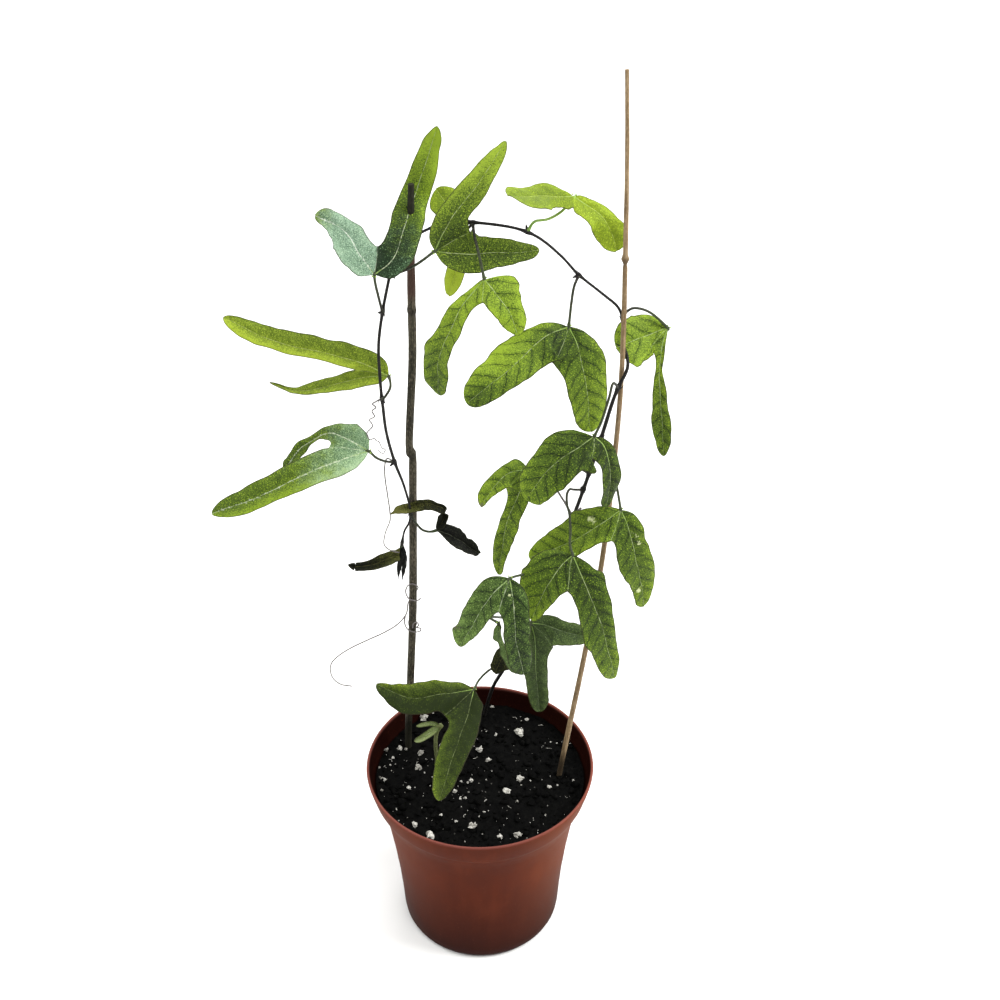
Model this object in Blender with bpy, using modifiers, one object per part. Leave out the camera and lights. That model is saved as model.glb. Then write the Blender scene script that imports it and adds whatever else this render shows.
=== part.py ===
"""A young passion flower vine on two canes, in a round nursery pot.

Origin: middle of the pot's underside. +Z up, +X to the plant's right, -Y to its front.
Lengths and places are written in millimetres and turned to metres by MM.
"""
import math

import bmesh
import bpy
import numpy as np
from mathutils import Vector

MM = 0.001
GAP = 0.3            # clearance kept between pieces that touch

# Pot: outer profile as (radius, height), from the rim down
POT_WALL = 1.4
POT_PROFILE = [(60.0, 107.0), (57.0, 94.0), (54.2, 92.5), (50.0, 72.0), (47.5, 55.0),
               (45.2, 35.0), (44.0, 20.0), (43.0, 5.0), (40.5, 1.0), (38.5, 0.0)]
POT_STEPS = 40
DRAIN_HOLES = 8
DRAIN_HOLE_RADIUS = 4.0
DRAIN_RING_RADIUS = 28.0
DRILL_DEPTH = 6.0

# Potting mix
SOIL_TOP = 97.0
SOIL_BOTTOM = POT_WALL + GAP
SOCKET_GAP = 0.45
SOCKET_RISE = 14.0

# Canes: points of the middle line, from the foot up, and the radius at each
LEFT_CANE = [((-37.8, 18.5, 45), 1.75), ((-39.3, 22, 97), 1.75), ((-36.6, 22.6, 145), 1.75),
             ((-33.6, 23.6, 198), 1.75), ((-31.6, 24.5, 274), 1.8), ((-32.1, 24.8, 294), 1.8),
             ((-29.3, 25.2, 337), 1.75), ((-28.7, 25.6, 367), 1.75), ((-27.1, 26, 421.5), 1.7)]
RIGHT_CANE = [((34, -2, 28), 1.4), ((42.1, 0.4, 97), 1.4), ((53.1, 2, 180), 1.35),
              ((60, 3.5, 242), 1.3), ((63.8, 5, 309), 1.2), ((64.5, 6, 352), 1.15),
              ((63.6, 6.8, 396), 1.1), ((62.2, 7.4, 442), 0.95), ((60.5, 8, 477), 0.85)]

# Vine stem: from the potting mix up the right cane, over the arch and down the left cane
STEM = [(4.5, 46.0, 88.0), (5.0, 46.0, 101.0), (8.0, 43.0, 122.0), (14.0, 37.0, 143.0),
        (22.0, 30.0, 173.0), (31.0, 23.0, 205.0), (39.0, 16.0, 235.0), (46.0, 10.5, 261.0),
        (52.0, 6.5, 287.0), (56.5, 3.5, 308.0), (60.5, 1.6, 327.5), (63.0, 1.8, 336.0),
        (65.6, 2.9, 341.5), (67.0, 5.0, 345.0), (66.6, 8.0, 348.6), (65.0, 9.3, 353.0),
        (64.7, 9.4, 359.0), (64.0, 9.1, 366.0), (61.4, 7.6, 373.0), (54.5, 5.0, 380.5),
        (44.0, 4.0, 390.0), (37.0, 4.0, 398.0), (29.0, 5.0, 405.0), (22.0, 6.5, 408.5),
        (13.0, 9.0, 410.0), (-2.0, 14.0, 409.5), (-14.0, 19.0, 407.0), (-20.0, 25.0, 401.5),
        (-26.0, 30.0, 396.0), (-32.0, 28.5, 391.5), (-36.0, 22.5, 387.5), (-37.0, 17.3, 384.0),
        (-41.0, 16.0, 366.0), (-43.5, 15.5, 349.0), (-43.5, 15.0, 330.0), (-43.0, 15.5, 318.0),
        (-42.0, 16.0, 303.0), (-39.0, 17.5, 286.0), (-35.5, 19.5, 272.0), (-33.0, 20.5, 258.0),
        (-34.0, 19.8, 250.0), (-37.0, 17.5, 243.0), (-37.0, 16.0, 237.0)]
STEM_RADII = (1.1, 0.7)      # at the foot and at the tip

LEAF_THICKNESS = 0.7
PETIOLE_RADIUS = 0.7
LOBE_ROWS = 9
LOBE_COLUMNS = 2
WIDEST_HALF_ANGLE = math.radians(72)
PETIOLE_OVERLAP = 2.5
FINE_STEP = 0.3
WIDTH_RISE = 1.7     # how fast a lobe widens from its base, for its half width
TAPER = 0.2          # how much narrower a lobe is at its tip than at its base
TIP_START = 0.78     # where along a lobe its rounded tip starts
TIP_POWER = 2.2
WEB_FADE = 0.1       # how soon the web between two lobes has narrowed to the lobe
WEB_POWER = 1.5
FOLDED_POWER = 0.7

# Facing: which way a blade's upper side looks, at its base and at the tip of each lobe
FRONT = (0.0, -0.8, 0.6)


def leaf(stalk, base, left, right, width, face=FRONT, left_face=FRONT, right_face=FRONT,
         sinus=1.25):
    """One leaf: petiole points from the stem, blade base, and the midrib of each lobe to its tip.

    width holds the half width of each lobe; sinus tells how far the web between them reaches.
    """
    return {"stalk": stalk, "base": base, "lobes": (left, right), "width": width,
            "faces": (face, left_face, right_face), "sinus": sinus}


# the lobe that the top of the left cane has pierced
TOP_LOBE = [(-35.1, 10.0, 394.5), (-31.7, 14.5, 401.1), (-29.9, 19.0, 405.0), (-28.5, 24.5, 408.3),
            (-27.4, 28.5, 411.1), (-25.0, 31.5, 416.9), (-21.0, 32.0, 428.2), (-15.8, 31.0, 445.1)]
CANE_SLIT_GAP = 0.45

LEAVES = {
    "leaf_top_left": leaf(
        [(-41, 15.5, 366), (-42, 13, 374), (-43, 10, 383)], (-43, 8, 388),
        [(-50, 18, 393), (-57, 30, 398), (-71, 42, 400)],
        TOP_LOBE, (7.5, 7.2), (0, -.8, .6), (-.2, -.7, .7), (.1, -1, .1)),
    "leaf_top_middle": leaf(
        [(-37, 17, 384), (-32, 15, 386), (-25, 12, 391)], (-17, 8, 399),
        [(-10, 7, 414), (2, 8, 430), (13, 12, 446)],
        [(-7, 9, 397.5), (2, 11, 396.5), (15, 14, 395.5), (27.5, 19, 394.5)], (6.4, 6.4),
        (0, -.9, .4), (0, -1, .2), (0, -.8, .6)),
    "leaf_arch_back": leaf(
        [(-3, 14.5, 409.5), (-4, 18, 409)], (-5, 21, 405),
        [(-10, 26, 410), (-17, 34, 416)], [(-6.5, 24, 391), (-12.3, 28, 368)], (6.5, 4.8)),
    "leaf_arch_front": leaf(
        [(-1, 13.5, 409.5), (0, 9, 405), (2, 4, 398)], (4, 0, 390),
        [(-3, -4, 383), (-10, -7, 371), (-16, -4, 353), (-17, 2, 332)],
        [(9, -6, 386), (15, -9, 379), (18, -11, 369)], (6.0, 7.2),
        (0, -.6, .8), (-.3, -.9, .3), (.2, -.9, .4)),
    "leaf_arch_top": leaf(
        [(22, 6.5, 408.5), (25, 9, 412), (31, 14, 411), (37, 18, 413)], (41.8, 20, 418.6),
        [(34.2, 17, 419.6), (27.9, 13, 422.1), (21.6, 5, 425.1), (13, -4, 429.9)],
        [(48.1, 20, 414), (54.5, 19, 409), (58.7, 17, 403.2), (61.3, 14, 397.6)], (7.2, 7.2),
        (0, -.5, .85), (0, .1, 1), (-.3, -.5, .8)),
    "leaf_centre": leaf(
        [(44, 4, 390), (42, 1, 386), (41, -1, 380)], (40, -3, 369),
        [(30, -8, 367), (19, -14, 359), (7, -19, 350), (-4, -20, 341)],
        [(44, -4, 360), (48, -6, 343), (51, -5, 317)], (9.6, 8.8),
        (0, -.6, .8), (-.2, -.8, .5), (.3, -.9, .4)),
    "leaf_right": leaf(
        [(64, 9.1, 366), (66, 11, 369), (70, 13, 369.5), (77, 17, 365)], (85.3, 20, 356),
        [(79.6, 20.5, 353.5), (74.2, 20, 350.3), (70.4, 19.5, 347.8)],
        [(83.5, 17, 351), (82.2, 13, 345), (81.8, 10, 338), (84, 6, 316), (85.6, 4, 298)],
        (9.0, 4.6), (0, -.7, .6), (-.1, -.9, .4), (-.5, -.9, .1)),
    "leaf_mid_upper": leaf(
        [(63, 1.8, 336), (60, -5, 342), (58, -11, 338), (55, -14, 328)], (52, -15, 321),
        [(46, -18, 318), (38, -21, 313.5), (30, -23, 306), (22, -24, 293)],
        [(56.5, -16, 316), (60, -16, 303), (59, -15, 283)], (9.8, 6.2),
        (0, -.6, .8), (-.2, -.8, .6), (.7, -.6, .4)),
    "leaf_mid_left": leaf(
        [(52, 6.5, 287), (44, 4, 293), (34, 0, 298)], (24, -4, 296),
        [(15, -8, 297), (8, -10, 291), (2, -12, 281)],
        [(18, -7, 281), (13, -9, 266), (10, -8, 239)], (4.8, 5.2),
        (0, -.6, .8), (-.2, -.7, .7), (-.4, -.9, .2)),
    "leaf_lower_right": leaf(
        [(56.5, 3.5, 308), (60, -2, 303), (63, -7, 293)], (66, -10, 278),
        [(59, -13, 274), (48, -13, 265), (36, -12, 257), (24, -9, 250)],
        [(70, -13, 269), (74, -15, 253), (80, -12, 223)], (9.0, 8.4),
        (0, -.6, .8), (0, -.7, .7), (.3, -.9, .3)),
    "leaf_lower_middle": leaf(
        [(52, 6.5, 287), (44, 0, 288), (39, -10, 287), (41, -17, 280)], (44, -22, 261),
        [(38, -25, 256), (31.4, -28, 245.3), (25, -29, 228.2)],
        [(49, -26, 250), (56, -29, 232), (62, -29, 210), (66, -27, 190)], (10.5, 8.2),
        (0, -.6, .8), (-.3, -.8, .5), (.3, -.9, .4)),
    "leaf_lower_left": leaf(
        [(39, 16, 235), (34, 4, 236), (29, -9, 240), (22, -21, 249)], (15, -29, 253),
        [(8, -33, 248), (1, -35, 237), (-8, -35, 217)],
        [(17, -37, 242), (18, -40, 225), (22, -38, 202)], (7.5, 7.2),
        (0, -.6, .8), (-.4, -.8, .4), (.2, -.9, .4)),
    "leaf_shaded": leaf(
        [(31, 23, 205), (32, 14, 209), (29, 4, 210)], (26, -2, 204),
        [(28, -6, 194), (28.5, -7, 175), (31, -3, 146)],
        [(33, -5, 205), (42, -7, 203), (55, -8, 200)], (6.2, 7.2),
        (0, -.6, .8), (0, -.8, .5), (.2, -.6, .8)),
    "leaf_low_back": leaf(
        [(22, 30, 173), (18, 29, 171)], (14, 27, 165),
        [(12, 24, 160), (8, 21, 151)], [(18, 24, 160), (22, 22, 152)], (3.8, 3.8)),
    "leaf_pot_rim": leaf(
        [(14, 37, 143), (6, 30, 146), (0, 22, 146)], (-3, 14, 146),
        [(-18, 6, 150), (-36, 5, 148), (-53, 8, 155)],
        [(-6, 0, 141), (-12, -20, 136), (-20, -40, 120)], (7.6, 8.6),
        (0, -.5, .85), (0, -.6, .8), (-.2, -.6, .8)),
    "leaf_left_upper": leaf(
        [(-43.5, 15, 322), (-41.5, 12, 325), (-39, 14, 329)], (-40, 19.5, 331.5),
        [(-52, 21, 337.5), (-69, 22, 342), (-92, 20, 350), (-111, 15, 364)],
        [(-46, 20.5, 330.9), (-59.4, 23, 326.8), (-83, 28, 318.5), (-96.5, 31, 321.8)], (5.8, 4.6),
        (0, -.8, .6), (0, -.8, .6), (0, -.5, .85)),
    "leaf_left_lower": leaf(
        [(-39, 17.5, 286), (-43, 15, 288), (-47, 12, 292)], (-50, 10, 297),
        [(-61, 6, 295.5), (-79, 2, 289.5), (-103, 0, 277.5), (-125, 2, 267)],
        [(-58, 12, 301), (-69, 19, 301), (-83, 24, 290), (-93, 25, 276)], (7.8, 4.6),
        (0, -.7, .7), (0, -.8, .6), (0, -.6, .8)),
    "leaf_withered": leaf(
        [(-33, 20.5, 254), (-30, 17, 251)], (-20, 15, 248),
        [(-17, 19, 254), (-24, 28, 254), (-34, 33, 250), (-45, 33, 244)],
        [(-13, 12, 249), (-6, 10, 243.5), (1, 9, 237)], (2.6, 3.8)),
}

# Leaves still folded along the midrib: one narrow blade each
FOLDED = {
    "leaf_folded": ([(22, 30, 173), (17, 10, 196), (9, -12, 216), (6, -20, 222)], (10, -24, 222),
                    [(12, -26, 212), (19, -27, 193)], 2.4),
    "leaf_stem_tip": ([(-37, 16, 237), (-38.5, 14.5, 235)], (-41, 13, 234),
                      [(-49, 11, 232), (-63, 8, 232)], 2.6),
    "young_shoot": ([(-22.5, 6, 97.4), (-23.6, 7, 110), (-23, 8, 120), (-20, 9, 125.5)],
                    (-22, 8.5, 125), [(-28, 6, 122), (-34.5, 3, 119)], 2.6),
}

# Tendrils: points along each, from the stem
TENDRILS = {
    "tendril_top": [(-43, 15, 318), (-46, 15, 316), (-48, 14, 309), (-45, 12, 303), (-49, 12, 297)],
    "tendril_side": [(-39, 17.5, 286), (-43, 20, 286), (-44, 18, 279), (-43, 16, 268), (-44, 15, 258),
                     (-46, 15, 250), (-45, 14, 242), (-42, 13, 238)],
    "tendril_hook": [(52, 6.5, 285), (46, 4, 280), (42, 2, 286), (39, 2, 284), (40, 1, 276)],
}
TENDRIL_RADIUS = 0.4
CANE_TENDRIL_COIL = {"bottom": 192.0, "top": 209.0, "turns": 3.25, "radius": 2.75, "start": 90}
CANE_TENDRIL_TAIL = [(-38, 18, 190), (-44.5, 14, 187), (-57.5, 10, 182), (-70.5, 7, 176),
                     (-75.5, 5, 171), (-75, 4, 163.5), (-71, 3, 159.5), (-65, 3, 158)]


def smooth_route(points, step):
    """Points spaced about one step apart along a Catmull-Rom curve through the given ones."""
    pts = [Vector(p) for p in points]
    pts = [pts[0] * 2 - pts[1]] + pts + [pts[-1] * 2 - pts[-2]]
    route = []
    for a, b, c, d in zip(pts, pts[1:], pts[2:], pts[3:]):
        count = max(1, round((c - b).length / step))
        for i in range(count):
            t = i / count
            route.append(0.5 * (2 * b + (c - a) * t + (2 * a - 5 * b + 4 * c - d) * t ** 2
                                + (3 * b - a - 3 * c + d) * t ** 3))
    return route + [pts[-2]]


def material(name, colour, roughness):
    mat = bpy.data.materials.new(name)
    mat.use_nodes = True
    shader = mat.node_tree.nodes["Principled BSDF"]
    shader.inputs["Base Color"].default_value = (*colour, 1.0)
    shader.inputs["Roughness"].default_value = roughness
    return mat


def new_object(name, mesh, collection, mat=None):
    obj = bpy.data.objects.new(name, mesh)
    collection.objects.link(obj)
    if mat:
        mesh.materials.append(mat)
    return obj


def tube(name, points, radii, collection, mat, resolution=1):
    """A closed round tube through points, made from a bevelled curve and kept as a mesh."""
    curve = bpy.data.curves.new(name, "CURVE")
    curve.dimensions = "3D"
    curve.bevel_depth = MM
    curve.bevel_resolution = resolution
    curve.use_fill_caps = True
    spline = curve.splines.new("POLY")
    spline.points.add(len(points) - 1)
    for node, point, radius in zip(spline.points, points, radii):
        node.co = (*(Vector(point) * MM), 1.0)
        node.radius = radius
    source = bpy.data.objects.new(name + "_curve", curve)
    collection.objects.link(source)
    bpy.context.view_layer.update()
    evaluated = source.evaluated_get(bpy.context.evaluated_depsgraph_get())
    mesh = bpy.data.meshes.new_from_object(evaluated)
    bpy.data.objects.remove(source)
    weld(mesh)
    mesh.materials.clear()
    return new_object(name, mesh, collection, mat)


def weld(mesh):
    bm = bmesh.new()
    bm.from_mesh(mesh)
    bmesh.ops.remove_doubles(bm, verts=bm.verts, dist=0.01 * MM)
    bmesh.ops.recalc_face_normals(bm, faces=bm.faces)
    bm.to_mesh(mesh)
    bm.free()


def boolean(obj, operation, other):
    """Join or cut with a mesh object, and hide the one that was used."""
    modifier = obj.modifiers.new(operation.lower(), "BOOLEAN")
    modifier.operation = operation
    modifier.object = other
    other.hide_render = True
    other.display_type = "WIRE"


def turned(name, profile, steps, collection, mat=None):
    """A closed turned solid from a profile of (radius, height), from the top down."""
    bm = bmesh.new()
    verts = [bm.verts.new((r * MM, 0.0, z * MM)) for r, z in profile]
    for a, b in zip(verts, verts[1:]):
        bm.edges.new((a, b))
    mesh = bpy.data.meshes.new(name)
    bm.to_mesh(mesh)
    bm.free()
    obj = new_object(name, mesh, collection, mat)
    screw = obj.modifiers.new("turn", "SCREW")
    screw.steps = screw.render_steps = steps
    screw.use_merge_vertices = True
    screw.merge_threshold = 0.00005
    return obj


def inner_profile():
    """The pot's inside, from the bottom up: the outer profile moved in by the wall."""
    inside = [(r - POT_WALL, max(z, POT_WALL)) for r, z in POT_PROFILE[:-1]]
    return inside[::-1]


def inner_radius(height):
    """The pot's inner radius at a height."""
    heights, radii = zip(*[(z, r) for r, z in inner_profile()])
    return float(np.interp(height, heights, radii))


def make_pot(parts, cutters):
    inside = inner_profile()
    profile = [(0.0, POT_WALL)] + inside + POT_PROFILE + [(0.0, 0.0)]
    pot = turned("pot", profile, POT_STEPS, parts, material("pot_plastic", (0.16, 0.045, 0.03), 0.45))
    for i in range(DRAIN_HOLES):
        angle = 2 * math.pi * (i + 0.5) / DRAIN_HOLES
        place = Vector((math.cos(angle), math.sin(angle), 0)) * DRAIN_RING_RADIUS * MM
        bpy.ops.mesh.primitive_cylinder_add(vertices=12, radius=DRAIN_HOLE_RADIUS * MM,
                                            depth=DRILL_DEPTH * MM, location=place)
        cutter = bpy.context.object
        cutter.name = f"drain_{i}"
        bpy.context.collection.objects.unlink(cutter)
        cutters.objects.link(cutter)
        boolean(pot, "DIFFERENCE", cutter)
    return pot


def make_soil(parts, cutters):
    """The root ball: it fills the pot, with a socket for each cane and for the stem."""
    side = [(inner_radius(SOIL_TOP) - GAP, SOIL_TOP)]
    side += [(r - POT_WALL - GAP, max(z, SOIL_BOTTOM)) for r, z in POT_PROFILE[1:-1]]
    profile = [(0.0, SOIL_TOP)] + side + [(0.0, SOIL_BOTTOM)]
    soil = turned("soil", profile, POT_STEPS, parts, material("potting_mix", (0.012, 0.01, 0.008), 0.95))
    sockets = {"left_socket": (cane_line(LEFT_CANE), LEFT_CANE[0][1]),
               "right_socket": (cane_line(RIGHT_CANE), RIGHT_CANE[0][1]),
               "stem_socket": (smooth_route(STEM, 6.0), STEM_RADII[0])}
    for name, (line, radius) in sockets.items():
        line = [p for p in line if p.z < SOIL_TOP + SOCKET_RISE]
        line.insert(0, line[0] - (line[1] - line[0]).normalized() * GAP)
        boolean(soil, "DIFFERENCE", tube(name, line, [radius + SOCKET_GAP] * len(line), cutters, None, 3))
    return soil


def cane_line(route):
    """The middle line of a cane as evenly spaced points."""
    return smooth_route([point for point, radius in route], 12.0)


def make_cane(name, route, parts, colour):
    points = cane_line(route)
    heights = [point[2] for point, radius in route]
    radii = [float(np.interp(p.z, heights, [radius for point, radius in route])) for p in points]
    return tube(name, points, radii, parts, material(name + "_bamboo", colour, 0.6), 3)


def stem_radius(i, count):
    return STEM_RADII[0] + (STEM_RADII[1] - STEM_RADII[0]) * i / (count - 1)


def make_stem(parts):
    points = smooth_route(STEM, 5.0)
    radii = [stem_radius(i, len(points)) for i in range(len(points))]
    return tube("vine_stem", points, radii, parts, material("stem", (0.02, 0.012, 0.02), 0.5), 1)


def outside_stem(points, radius, step):
    """A smooth route through points, from where it clears the stem's surface on."""
    fine = smooth_route(points, FINE_STEP)
    line = smooth_route(STEM, 1.0)
    start = 0
    for i, p in enumerate(fine[:len(fine) // 2]):
        room, nearest = min(((p - q).length - stem_radius(k, len(line)), q) for k, q in enumerate(line))
        along = (fine[i + 1] - p).normalized().dot((p - nearest).normalized())
        if room < GAP + radius * math.sqrt(max(0.0, 1.0 - along ** 2)):
            start = i + 1
    stride = max(1, round(step / FINE_STEP))
    route = fine[start:-1:stride]
    if (route[-1] - fine[-1]).length < step / 2:
        route.pop()
    return route + [fine[-1]]


def lobe_width(t, half_width, length, side, web):
    """Distance from the midrib to the edge at t along a lobe; web describes the inner side."""
    rise = 1.0 - math.exp(-t * length * WIDTH_RISE / half_width)
    rounding = max(0.0, (t - TIP_START) / (1.0 - TIP_START))
    tip = math.sqrt(max(0.0, 1.0 - rounding ** TIP_POWER))
    outer = half_width * rise * (1.0 - TAPER * t) * tip
    if side == "outer":
        return outer
    slope, meet = web
    if t <= meet:
        return t * length * slope
    extra = meet * length * slope - lobe_width(meet, half_width, length, "outer", web)
    return outer + extra * math.exp(-((t - meet) / WEB_FADE) ** WEB_POWER) * tip


def lobe_point(line, t, faces, outward):
    """Place on a lobe's midrib at t, and the direction across the blade there."""
    place = t * (len(line) - 1)
    index = min(len(line) - 2, int(place))
    middle = line[index].lerp(line[index + 1], place - index)
    way = (line[index + 1] - line[index]).normalized()
    across = way.cross(faces[0].lerp(faces[1], t)).normalized()
    return middle, across if across.dot(outward) > 0 else -across


def two_lobed_sheet(name, base, spec):
    """The open sheet of a two-lobed blade: one grid along each lobe, joined along the web."""
    lobes = [[base] + [Vector(p) for p in lobe] for lobe in spec["lobes"]]
    starts = [(lobe[1] - base).normalized() for lobe in lobes]
    half_angle = starts[0].angle(starts[1]) / 2
    slope = math.tan(min(half_angle, WIDEST_HALF_ANGLE))
    reach = spec["sinus"] * min(spec["width"]) / math.sin(half_angle)
    faces = [Vector(face) for face in spec["faces"]]
    bm = bmesh.new()
    webs = []
    for k, lobe in enumerate(lobes):
        line = smooth_route(lobe, 1.0)
        length = sum((b - a).length for a, b in zip(line, line[1:]))
        meet_row = max(1, round(LOBE_ROWS * reach * math.cos(half_angle) / length))
        grid = bmesh.ops.create_grid(bm, x_segments=LOBE_COLUMNS, y_segments=LOBE_ROWS, size=1.0)
        web = {}
        for vert in grid["verts"]:
            across, t = vert.co.x, (vert.co.y + 1) / 2
            middle, side = lobe_point(line, t, (faces[0], faces[1 + k]), starts[k] - starts[1 - k])
            inner = across < 0
            width = lobe_width(t, spec["width"][k], length, "inner" if inner else "outer",
                               (slope, meet_row / LOBE_ROWS))
            vert.co = middle + side * width * across
            row = round(t * LOBE_ROWS)
            if across < -0.99 and row <= meet_row:
                web[row] = vert
        webs.append(web)
    for row in set(webs[0]) & set(webs[1]):
        pair = webs[0][row], webs[1][row]
        pair[0].co = pair[1].co = (pair[0].co + pair[1].co) / 2
    return finish_sheet(name, bm)


def folded_sheet(name, base, line, half_width):
    """The open sheet of a narrow young blade, widest at its middle."""
    line = smooth_route([base] + [Vector(p) for p in line], 1.0)
    bm = bmesh.new()
    grid = bmesh.ops.create_grid(bm, x_segments=2, y_segments=LOBE_ROWS, size=1.0)
    for vert in grid["verts"]:
        across, t = vert.co.x, (vert.co.y + 1) / 2
        middle, side = lobe_point(line, t, (Vector(FRONT), Vector(FRONT)), Vector((0, 0, 1)))
        vert.co = middle + side * across * half_width * math.sin(math.pi * t) ** FOLDED_POWER
    return finish_sheet(name, bm)


def finish_sheet(name, bm):
    bmesh.ops.remove_doubles(bm, verts=bm.verts, dist=0.05)
    bmesh.ops.recalc_face_normals(bm, faces=bm.faces)
    bmesh.ops.scale(bm, vec=(MM, MM, MM), verts=bm.verts)
    mesh = bpy.data.meshes.new(name)
    bm.to_mesh(mesh)
    bm.free()
    return mesh


def make_leaf(name, mesh, stalk, base, way, parts, cutters, mat):
    """Thicken a blade's sheet and grow its petiole out of it."""
    obj = new_object(name, mesh, parts, mat)
    thick = obj.modifiers.new("thickness", "SOLIDIFY")
    thick.thickness = LEAF_THICKNESS * MM
    thick.offset = 0.0
    points = [Vector(p) for p in stalk] + [base, base + way * PETIOLE_OVERLAP]
    route = outside_stem(points, PETIOLE_RADIUS, 4.0)
    petiole = tube(name + "_petiole", route, [PETIOLE_RADIUS] * len(route), cutters, None)
    boolean(obj, "UNION", petiole)
    return obj


def make_leaves(parts, cutters):
    mat = material("leaf", (0.07, 0.13, 0.03), 0.5)
    for name, spec in LEAVES.items():
        base = Vector(spec["base"])
        ways = [(Vector(lobe[0]) - base).normalized() for lobe in spec["lobes"]]
        way = ways[0] + ways[1]
        way = way.normalized() if way.length > 0.5 else ways[1]
        sheet = two_lobed_sheet(name, base, spec)
        obj = make_leaf(name, sheet, spec["stalk"], base, way, parts, cutters, mat)
        if spec["lobes"][1] is TOP_LOBE:
            line = cane_line(LEFT_CANE)[-6:]
            line.append(line[-1] + (line[-1] - line[-2]))
            radius = LEFT_CANE[-1][1] + CANE_SLIT_GAP
            slit = tube("cane_slit", line, [radius] * len(line), cutters, None, 3)
            boolean(obj, "DIFFERENCE", slit)
    for name, (stalk, base, line, half_width) in FOLDED.items():
        base = Vector(base)
        way = (Vector(line[0]) - base).normalized()
        sheet = folded_sheet(name, base, line, half_width)
        make_leaf(name, sheet, stalk, base, way, parts, cutters, mat)


def cane_centre(route, height):
    """The middle of a cane at a height."""
    heights = [point[2] for point, radius in route]
    return Vector([float(np.interp(height, heights, [point[i] for point, radius in route]))
                   for i in range(3)])


def make_tendrils(parts):
    mat = material("tendril", (0.03, 0.02, 0.02), 0.5)
    for name, points in TENDRILS.items():
        route = outside_stem(points, TENDRIL_RADIUS, 1.6)
        tube(name, route, [TENDRIL_RADIUS] * len(route), parts, mat)
    coil = CANE_TENDRIL_COIL
    points = []
    steps = int(coil["turns"] * 10)
    for i in range(steps + 1):
        share = i / steps
        angle = 2 * math.pi * coil["turns"] * share + math.radians(coil["start"])
        height = coil["top"] + (coil["bottom"] - coil["top"]) * share
        points.append(cane_centre(LEFT_CANE, height)
                      + Vector((math.cos(angle), math.sin(angle), 0)) * coil["radius"])
    route = points + smooth_route([points[-1]] + [Vector(p) for p in CANE_TENDRIL_TAIL], 4.0)[1:]
    tube("tendril_cane", route, [TENDRIL_RADIUS] * len(route), parts, mat)


def main():
    for obj in list(bpy.data.objects):
        bpy.data.objects.remove(obj)
    parts = bpy.data.collections.new("passion_flower_vine")
    cutters = bpy.data.collections.new("cutters")
    for collection in (parts, cutters):
        bpy.context.scene.collection.children.link(collection)
    make_pot(parts, cutters)
    make_soil(parts, cutters)
    make_cane("left_cane", LEFT_CANE, parts, (0.05, 0.035, 0.025))
    make_cane("right_cane", RIGHT_CANE, parts, (0.25, 0.17, 0.09))
    make_stem(parts)
    make_leaves(parts, cutters)
    make_tendrils(parts)


if __name__ == "__main__":
    main()
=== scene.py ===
import bisect
import math
import random
from functools import partial

import bpy
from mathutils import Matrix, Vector, noise


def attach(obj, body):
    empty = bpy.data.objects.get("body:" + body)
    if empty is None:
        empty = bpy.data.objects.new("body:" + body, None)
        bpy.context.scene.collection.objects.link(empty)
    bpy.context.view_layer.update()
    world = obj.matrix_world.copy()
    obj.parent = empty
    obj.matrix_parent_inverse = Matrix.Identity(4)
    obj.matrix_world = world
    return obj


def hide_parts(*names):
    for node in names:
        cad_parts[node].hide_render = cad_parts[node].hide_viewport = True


# A young passion flower vine: two bamboo canes, a thin twining stem and two-lobed leaves, in a
# round nursery pot of potting mix. Shapes are given in millimetres and made at their place.

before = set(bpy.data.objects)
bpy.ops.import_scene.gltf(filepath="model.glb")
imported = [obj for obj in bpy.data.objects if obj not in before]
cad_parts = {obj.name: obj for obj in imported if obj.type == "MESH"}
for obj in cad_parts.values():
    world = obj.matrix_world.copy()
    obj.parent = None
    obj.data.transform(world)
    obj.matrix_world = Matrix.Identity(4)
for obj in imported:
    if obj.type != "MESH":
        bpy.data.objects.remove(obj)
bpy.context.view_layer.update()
mm = 0.001
fullTurn = 2 * math.pi
up = Vector((0, 0, 1))
noise.seed_set(5)      # noise vectors are drawn anew in each run otherwise
print("frame loaded:", len(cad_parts), "nodes")


def pick(*objects):
    bpy.ops.object.select_all(action="DESELECT")
    for obj in objects:
        obj.select_set(True)
    bpy.context.view_layer.objects.active = objects[0]


def applyModifiers(obj):
    pick(obj)
    for modifier in list(obj.modifiers):
        bpy.ops.object.modifier_apply(modifier=modifier.name)


def closeMesh(obj, gap=0.01, outwards=True):
    # doubles merged, then faces turned outwards
    pick(obj)
    bpy.ops.object.mode_set(mode="EDIT")
    bpy.ops.mesh.select_all(action="SELECT")
    bpy.ops.mesh.remove_doubles(threshold=gap * mm)
    if outwards:
        bpy.ops.mesh.normals_make_consistent(inside=False)
    bpy.ops.object.mode_set(mode="OBJECT")


def drawThrough(obj, rings):
    # the rim of a flat sheet, drawn on through rings of (radius, height), the first its own
    bpy.ops.object.mode_set(mode="EDIT")
    bpy.ops.mesh.select_mode(type="EDGE")
    bpy.ops.mesh.select_all(action="SELECT")
    bpy.ops.mesh.region_to_loop()
    for (oldRadius, oldHeight), (radius, height) in zip(rings, rings[1:]):
        bpy.ops.mesh.extrude_edges_move(
            TRANSFORM_OT_translate={"value": (0, 0, (height - oldHeight) * mm)})
        grow = radius / oldRadius
        bpy.ops.transform.resize(value=(grow, grow, 1), center_override=(0, 0, height * mm))
    bpy.ops.mesh.edge_face_add()
    bpy.ops.object.mode_set(mode="OBJECT")
    closeMesh(obj)


def joinPieces(name, pieces, material=None):
    pick(*pieces)
    if len(pieces) > 1:
        bpy.ops.object.join()
    obj = bpy.context.object
    obj.name = obj.data.name = name
    if material:
        coat(obj, material)
    return obj


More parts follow.
